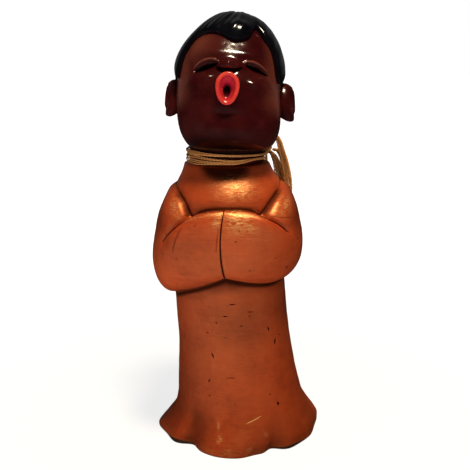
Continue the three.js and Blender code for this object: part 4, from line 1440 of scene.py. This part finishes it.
@dataclass
class NeckCord:
    """The cord wound round the neck, from the knot and back to it, and the knot itself.

    Its outermost threads reach thread_reach above and below the middle, further on the lower
    turn and in the fan, and each thread sways up and down and weaves in and out.
    """

    diameter: float = 1.2
    turns: int = 2
    pitch: float = 2.05
    knot_radius: float = 2.2
    knot_standoff: float = 1.8
    knot_angle: float = 40.0
    threads: int = 5
    thread_diameter: float = 0.5
    thread_reach: float = 0.18
    lower_reach: float = 0.44
    fan_reach: float = 0.8
    fan_angle: float = 216.0
    fan_half_angle: float = 30.0
    sway: float = 0.08
    weave: float = 0.24
    sides: int = 7

    @property
    def winding_radius(self) -> float:
        """Radius of the cord's middle round the neck."""
        return NECK_RADIUS + CLEARANCE + self.diameter / 2

    @property
    def middle_height(self) -> float:
        """Height of the winding's middle."""
        return COLLAR_HEIGHT + CLEARANCE + self.diameter / 2 + self.turns * self.pitch / 2

    @property
    def knot_distance(self) -> float:
        """Distance of the knot's middle from the neck's axis."""
        return self.winding_radius + self.diameter / 2 + self.knot_standoff + self.knot_radius

    def knot_centre(self) -> Array:
        """Middle of the knot, in the part's own millimetres."""
        distance = self.knot_distance
        return oval(*COLLAR_AXIS, distance, distance, self.knot_angle, self.middle_height)

    def line(self) -> Array:
        """Middle of the winding: a straight lead, a helix round the neck and a lead back."""
        radius = self.winding_radius
        reach = math.degrees(math.acos(radius / self.knot_distance))
        share = np.linspace(0, 1, 400)
        angle = self.knot_angle - reach - 2 * (180 * self.turns - reach) * share
        height = self.middle_height + self.pitch * self.turns * (share - 0.5)
        wound = oval(*COLLAR_AXIS, radius, radius, angle, height)
        centre = self.knot_centre()
        leads = centre + unit(wound[[0, -1]] - centre) * self.knot_radius * 0.6
        return np.concatenate([leads[:1], wound, leads[1:]])

    def build(self, place: Place) -> Piece:
        """Makes the winding of loose threads side by side.

        They fan out flat on the viewer's left, and the lower turn sags on the right.
        """
        line = spaced(self.line(), 0.25)
        outwards = line * (1, 1, 0) - (*COLLAR_AXIS, 0)
        turn = np.degrees(np.arctan2(outwards[:, 1], outwards[:, 0]))
        outwards = unit(outwards)
        lower = ease(0.2, -0.2, line[:, 2] - self.middle_height)
        run = np.linspace(0, 1, len(line))
        calm = (ease(0, 0.03, run) * ease(1, 0.97, run))[:, None]
        fan = spread(turn_between(turn, self.fan_angle), self.fan_half_angle) * (0.35 + 0.65 * lower)
        right = ease(276, 318, turn % 360) * (1 - ease(335, 355, turn % 360))
        centre = spread(turn_between(turn, 272), 32)
        apart = self.thread_reach + (self.lower_reach - 0.4 * right) * lower + self.fan_reach * fan
        sag = lower * (0.1 * centre + right)
        tubes = []
        for k in range(self.threads):
            lay = 2 * k / (self.threads - 1) - 1
            sway = sind(turn * (1.6 + 0.5 * (k % 3)) + 97 * k)
            rise = (lay * apart + self.sway * sway + sag)[:, None]
            out = self.weave * cosd(turn * 2.2 + 140 * k) * (1 - 0.6 * fan) - 0.1
            middle = line + calm * (outwards * out[:, None] + rise * (0, 0, 1))
            tubes += Twist(middle, self.thread_diameter, plies=2, pitch=2.4, sides=self.sides).rings()
        return tubes_mesh("neck_winding", place, tubes, self.sides)

    def build_knot(self, place: Place) -> Piece:
        """Makes the knot as a tight trefoil of the same cord, inside the knot's ball."""
        return trefoil("bow_knot_tied", place, self.knot_centre(), self.knot_radius, self.diameter * 0.98)


def trefoil(name: str, place: Place, centre: Array, radius: float, diameter: float) -> Piece:
    """Makes a small tied knot: a trefoil (sin t + 2 sin 2t, -1.25 sin 3t, cos t - 2 cos 2t) / 3.

    Args:
        name: Name of the piece.
        place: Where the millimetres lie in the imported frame.
        centre: Middle of the knot.
        radius: Radius of the ball that holds it.
        diameter: The cord's diameter.

    Returns:
        The new object.
    """
    t = np.linspace(0, 360, 181)
    line = stacked(sind(t) + 2 * sind(2 * t), -1.25 * sind(3 * t), cosd(t) - 2 * cosd(2 * t))
    line = centre + line / 3 * (radius - diameter / 2)
    twist = Twist(spaced(line, 0.14), diameter, plies=3, pitch=3.2, sides=7)
    return tubes_mesh(name, place, twist.rings(), twist.sides)


@dataclass
class BowCord:
    """A free cord of the bow: a loop back to the knot, or a tail with its own end knot.

    Its points start at the knot and count their height from the collar. Beside a loop run
    looser threads, each moved aside by up to its row of strays.
    """

    node: str
    returns: bool
    points: tuple[Triple, ...]
    diameter: float = 1.2
    end_radius: float = 1.4
    end_diameter: float = 0.8
    stray_diameter: float = 0.62
    strays: tuple[Triple, ...] = ((-0.85, 0.0, 0.3), (-1.42, 0.5, 0.0), (-2.0, 0.1, -0.3))

    def line(self, neck: NeckCord) -> Array:
        """Middle of the cord through its points, which leaves the knot squarely."""
        free = np.asarray(self.points, float) + (0, 0, COLLAR_HEIGHT)
        parts = [self._at_knot(neck, free[0]), free]
        if self.returns:
            parts.append(self._at_knot(neck, free[-1])[::-1])
        return centripetal_spline(np.concatenate(parts))

    def _at_knot(self, neck: NeckCord, towards: Array) -> Array:
        """The two points where the cord leaves the knot, straight towards its next point."""
        centre = neck.knot_centre()
        seat = neck.knot_radius + CLEARANCE
        return centre + unit(towards - centre) * np.array([[seat], [seat + self.diameter]])

    def build(self, neck: NeckCord, place: Place) -> list[Piece]:
        """Args:
            neck: The winding and the knot that the cord leaves.
            place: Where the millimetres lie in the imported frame.

        Returns:
            The cord and any end knot.
        """
        line = spaced(self.line(neck), 0.22)
        tubes = Twist(line, self.diameter, plies=3, pitch=3.6).rings()
        if self.returns:
            swing = np.sin(np.linspace(0, math.pi, len(line)))[:, None] ** 0.45
            for aside in self.strays:
                tubes += Twist(line + swing * aside, self.stray_diameter, plies=2, pitch=2.6).rings()
        cord = tubes_mesh(f"{self.node}_twisted", place, tubes, Twist.sides)
        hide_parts(self.node)
        made = [cord]
        if not self.returns:
            centre = line[-1] + unit(line[-1] - line[-2]) * (self.end_radius + CLEARANCE)
            knot = trefoil(f"{self.node}_knot_tied", place, centre, self.end_radius, self.end_diameter)
            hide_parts(f"{self.node}_knot")
            made.append(knot)
        return made


# Stage


@dataclass
class Studio:
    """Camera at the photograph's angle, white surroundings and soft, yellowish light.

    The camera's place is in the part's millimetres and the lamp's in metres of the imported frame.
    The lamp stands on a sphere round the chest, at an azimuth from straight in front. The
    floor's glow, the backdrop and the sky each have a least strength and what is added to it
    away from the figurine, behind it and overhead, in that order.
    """

    camera: Triple = (-1.1, -285.0, 141.0)
    pitch: float = 13.5
    focal_pixels: float = 815.0
    frame_pixels: float = 470.0
    film: float = 36.0
    target: Triple = (0.0, 0.0, 0.09)
    key_azimuth: float = 24.0
    key_elevation: float = 71.0
    key_distance: float = 0.75
    key_power: float = 6.8
    key_size: float = 0.16
    key_colour: Triple = (1.0, 0.85, 0.62)
    floor_size: float = 3.0
    floor_seen: Colour = (0.25, 0.25, 0.25, 1)
    floor_unseen: Colour = (0.03, 0.03, 0.03, 1)
    floor_glow: tuple[float, float] = (0.78, 0.3)
    bounce: float = 2.45
    backdrop: tuple[float, float] = (0.012, 0.09)
    sky: tuple[float, float] = (0.05, 0.25)

    def add_camera(self, place: Place) -> None:
        """Puts up the camera: its focal length in pixels, turned into a lens for the film."""
        data = bpy.data.cameras.new("camera")
        data.sensor_width = self.film
        data.lens = self.focal_pixels / self.frame_pixels * self.film
        data.clip_start = 0.01
        camera = linked("camera", data)
        camera.location = place.metres(self.camera)
        camera.rotation_euler = (math.radians(90 - self.pitch), 0, 0)
        bpy.context.scene.camera = camera

    def add_light(self) -> None:
        """Adds the soft round lamp above the figurine, turned towards the chest."""
        data = bpy.data.lights.new("key", "AREA")
        data.shape, data.size = "DISK", self.key_size
        data.energy, data.color = self.key_power, self.key_colour
        lamp = linked("key", data)
        way = facing(self.key_azimuth, self.key_elevation)
        lamp.location = way * self.key_distance + self.target
        lamp.rotation_euler = np.radians((90 - self.key_elevation, 0, self.key_azimuth))
        lamp.visible_camera = False

    def add_world(self) -> None:
        """White for the camera, a soft light from above, and a dim backdrop in reflections."""
        world = bpy.data.worlds.new("studio")
        world.use_nodes = True
        bpy.context.scene.world = world
        make = NodeMaker(world.node_tree)
        seen, shiny = make.ray("Is Camera Ray"), make.ray("Is Glossy Ray")
        way = make.coordinates("Generated")
        backdrop = self.backdrop[0] + make.step(make.part(way, "Y"), 0.5, 0.95) * self.backdrop[1]
        sky = self.sky[0] + make.step(make.part(way, "Z"), 0.1, 0.9) * self.sky[1]
        strength = seen + (1 - seen) * (shiny * backdrop + (1 - shiny) * sky)
        make.surface("Background", {"Color": (1, 1, 1, 1), "Strength": strength}, "World")

    def add_floor(self) -> None:
        """Adds the white floor, which glows for the camera so that only the shadow greys it.

        In front and a little to the viewer's left, it also lights the figurine from below.
        """
        half = self.floor_size
        mesh = bpy.data.meshes.new("floor")
        corners = [(-half, -half, 0), (half, -half, 0), (half, half, 0), (-half, half, 0)]
        mesh.from_pydata(corners, [], [(0, 1, 2, 3)])
        floor = linked("floor", mesh)
        material, make = new_material("floor")
        seen, shiny = make.ray("Is Camera Ray"), make.ray("Is Glossy Ray")
        place = make.coordinates("Object")
        away = make.add("ShaderNodeVectorMath", {"operation": "LENGTH"}, {0: place}, "Value")
        grey = make.mix(seen, self.floor_unseen, self.floor_seen)
        side = make.part(place, "Y") * -0.94 + make.part(place, "X") * -0.34
        bounce = (1 - seen) * (1 - shiny) * make.step(side, 0.0, 0.1) * (1 - make.step(away, 0.4, 0.7))
        white = seen * (self.floor_glow[0] + make.step(away, 0.06, 0.3) * self.floor_glow[1])
        make.surface("AddShader", {
            0: make.add("ShaderNodeBsdfDiffuse", {}, {"Color": grey}),
            1: make.add("ShaderNodeEmission", {}, {"Strength": white + bounce * self.bounce}),
        })
        mesh.materials.append(material)


# The figurine


class Figurine:
    """Builds every piece in order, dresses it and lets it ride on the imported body."""

    def __init__(self) -> None:
        """Finds the shift between the part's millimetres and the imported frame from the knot."""
        self.neck_cord = NeckCord()
        low, high = (np.asarray(corner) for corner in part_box("bow_knot"))
        self.place = Place(tuple((low + high) / 2 / MM - self.neck_cord.knot_centre()))
        self.body = next(iter(frame["bodies"]))
        self.robe = Robe()
        self.head = Head()
        self.sleeves = self._sleeves(math.degrees(CUFF_GAP / self.robe.chest_half_width))
        self.finishes = self._finishes()

    def _sleeves(self, cuff: float) -> tuple[Sleeve, Sleeve]:
        """The two sleeves, whose cuffs end an angle apart on both sides of their meeting line."""
        return (
            Sleeve(
                "right_sleeve_folded", "right_sleeve", cuff_shift=-cuff,
                inner=((185, 7), (205, 9), (219, 11.6), (230, 16.2), (241, 14.2), (254, 13), (266, 12.8)),
                outer=((150, 5.4), (146, 13.9), (146, 24.9), (152, 35.4), (188, 45.5), (226, 42.2),
                       (267, 36.3)),
                bulge=(0, 2.1, 4.9, 6.4, 6.8, 4.8, 3),
                folds=each(Fold, ((0.5, -0.02), (0.6, 0.36), 0.75, 0.45),
                           ((0.655, 0.14), (0.73, 0.44), 0.22, 0.45),
                           ((0.975, 0.24), (0.972, 0.56), 0.25, 0.3)),
                # Painted highlights on the forearm's top by the cuff and on the upper arm.
                glints=each(Glint, (0.95, 0.11, 0.04, 0.1, 0.8), (0.36, 0.06, 0.08, 0.04, 0.5)),
            ),
            Sleeve(
                "left_sleeve_folded", "left_sleeve", cuff_shift=cuff,
                inner=((356, 6.4), (335, 8.3), (318.5, 11), (303.5, 15.2), (292, 13.4), (281, 12.9),
                       (266, 12.8)),
                outer=((390, 5.4), (394, 12.9), (394, 20.9), (388, 27.9), (359, 36.8), (314, 39.4),
                       (267, 36.3)),
                bulge=(0, 2.1, 4.7, 6.5, 6.8, 4.8, 3.2),
                folds=each(Fold, ((0.5, -0.02), (0.61, 0.36), 0.75, 0.5),
                           ((0.47, 0.05), (0.44, 0.25), 0.2, 0.5)),
                # Painted highlights on the forearm's top by the cuff and on the upper arm.
                glints=each(Glint, (0.88, 0.1, 0.1, 0.17, 0.8), (0.34, 0.12, 0.1, 0.07, 0.6)),
            ),
        )

    def _finishes(self) -> dict[Slot, bpy.types.Material]:
        """Materials of all slots."""
        finishes = {
            Slot.COPPER: CopperPaint(),
            Slot.SKIN: Enamel(
                "skin_enamel", base=(0.041, 0.0038, 0.0032, 1), shade=(0.024, 0.0015, 0.0018, 1),
                roughness=0.16, grain=900.0, depth=0.00003, matt=("eye", "shade"),
                painted=(
                    # Painted sheen on the face's sides, brow and lids, eye paint, painted shade under the
                    # nose and chin, mouth paint, and painted shade in the mouth's hole.
                    ("warm", (0.150, 0.034, 0.020, 1)), ("eye", (0.003, 0.001, 0.001, 1)),
                    ("shade", (0.014, 0.002, 0.002, 1)), ("mouth", (0.62, 0.022, 0.045, 1)),
                    ("throat", (0.03, 0.003, 0.004, 1)),
                )),
            Slot.HAIR: Enamel(
                "hair_enamel", base=(0.0028, 0.0026, 0.0042, 1), shade=(0.0010, 0.0010, 0.0020, 1),
                roughness=0.17, grain=500.0, depth=0.00006, brushed=True),
            Slot.LIPS: Enamel(
                "lip_enamel", base=(0.62, 0.050, 0.032, 1), shade=(0.46, 0.026, 0.020, 1),
                roughness=0.2, grain=700.0, depth=0.00004, painted=(("inner", (0.42, 0.016, 0.022, 1)),)),
            Slot.CORD: GoldThread(),
        }
        return {slot: finish.material() for slot, finish in finishes.items()}

    def dress(self, piece: Piece, slot: Slot, *nodes: str) -> None:
        """Gives a piece the finish of its slot and its body, and hides the CAD nodes it stands for.

        Args:
            piece: The piece.
            slot: The record's material slot.
            nodes: CAD nodes that it replaces.
        """
        piece.data.materials.append(self.finishes[slot])
        if nodes:
            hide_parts(*nodes)
        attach(piece, self.body)
        LOG.info("%s: %d faces", piece.name, len(piece.data.polygons))

    def build_cords(self) -> None:
        """Makes the neck winding, the knot, the bow's loops and its tails."""
        self.dress(self.neck_cord.build(self.place), Slot.CORD, "neck_cord")
        self.dress(self.neck_cord.build_knot(self.place), Slot.CORD, "bow_knot")
        cords = (
            BowCord("bow_loop_outer", returns=True, points=(
                (12.6, 6.6, 6.3), (13.9, 6, 7.3), (15.1, 5.8, 5.7), (16.1, 5.8, 2.7), (17.3, 5.9, -0.7),
                (18.3, 6, -4.5), (19, 6, -8.7), (19.1, 6.1, -11.9), (18.9, 6.9, -14.1), (18.5, 8.6, -15),
                (18.1, 10.4, -14.1), (17.9, 11.2, -11.9), (17.9, 11.1, -8.9), (17.4, 10.8, -4.3),
                (16.4, 10.4, -0.3), (14.6, 9.5, 2))),
            BowCord("bow_loop_inner", returns=True, points=(
                (13.4, 7.2, 0.3), (14.9, 7.2, -2.5), (16, 7.4, -5.9), (16.6, 7.6, -9.9), (16.7, 7.8, -13.9),
                (16.5, 8.6, -15.9), (16.2, 10.3, -16.8), (15.9, 12, -15.9), (15.8, 12.8, -13.9),
                (15.7, 12.9, -9.9), (15.2, 12.8, -5.9), (14.3, 12.5, -2.3), (13.1, 11.8, 0.1))),
            BowCord("cord_tail_front", returns=False, points=(
                (9, 11.2, -0.5), (8.9, 12.2, -4.9), (9.2, 12.2, -9.9), (9.4, 12.1, -15.9),
                (9.5, 12.2, -21.9), (9.8, 12.8, -28.7))),
            BowCord("cord_tail_back", returns=False, points=(
                (8.2, 11.3, 3.2), (7, 12.3, -1.1), (6.4, 12.6, -7.9), (6.1, 12.9, -15.9),
                (6, 13.6, -23.9), (6.1, 15, -32.4))),
        )
        for cord in cords:
            for piece in cord.build(self.neck_cord, self.place):
                self.dress(piece, Slot.CORD)

    def build_head(self) -> None:
        """Makes the head, hair, ears and lips."""
        left = Ear("left_ear_shell", side=1, elevation=-13.8, reach=5.3, half_height=6.3)
        right = Ear("right_ear_shell", side=-1, elevation=-18.4, reach=3.8, half_height=6.2)
        pieces = (
            (Hair(), Slot.HAIR, "hair_cap"),
            (left, Slot.SKIN, "left_ear"),
            (right, Slot.SKIN, "right_ear"),
            (Lips(), Slot.LIPS, "lip_ring"),
        )
        self.dress(self.head.build(self.place), Slot.SKIN, "head")
        for maker, slot, node in pieces:
            self.dress(maker.build(self.head, self.place), slot, node)

    def build_body(self) -> None:
        """Makes the robe and the two sleeves."""
        self.dress(self.robe.build(self.place, self.sleeves), Slot.COPPER, "robe_shell")
        for sleeve in self.sleeves:
            self.dress(sleeve.build(self.robe, self.place), Slot.COPPER, sleeve.node)


def main() -> None:
    """Builds the stage and the figurine."""
    logging.basicConfig(level=logging.INFO, format="%(message)s")
    bpy.context.scene.view_settings.view_transform = "Standard"
    figurine = Figurine()
    studio = Studio()
    studio.add_camera(figurine.place)
    figurine.build_cords()
    figurine.build_head()
    figurine.build_body()
    studio.add_light()
    studio.add_world()
    studio.add_floor()


if __name__ == "__main__":
    main()
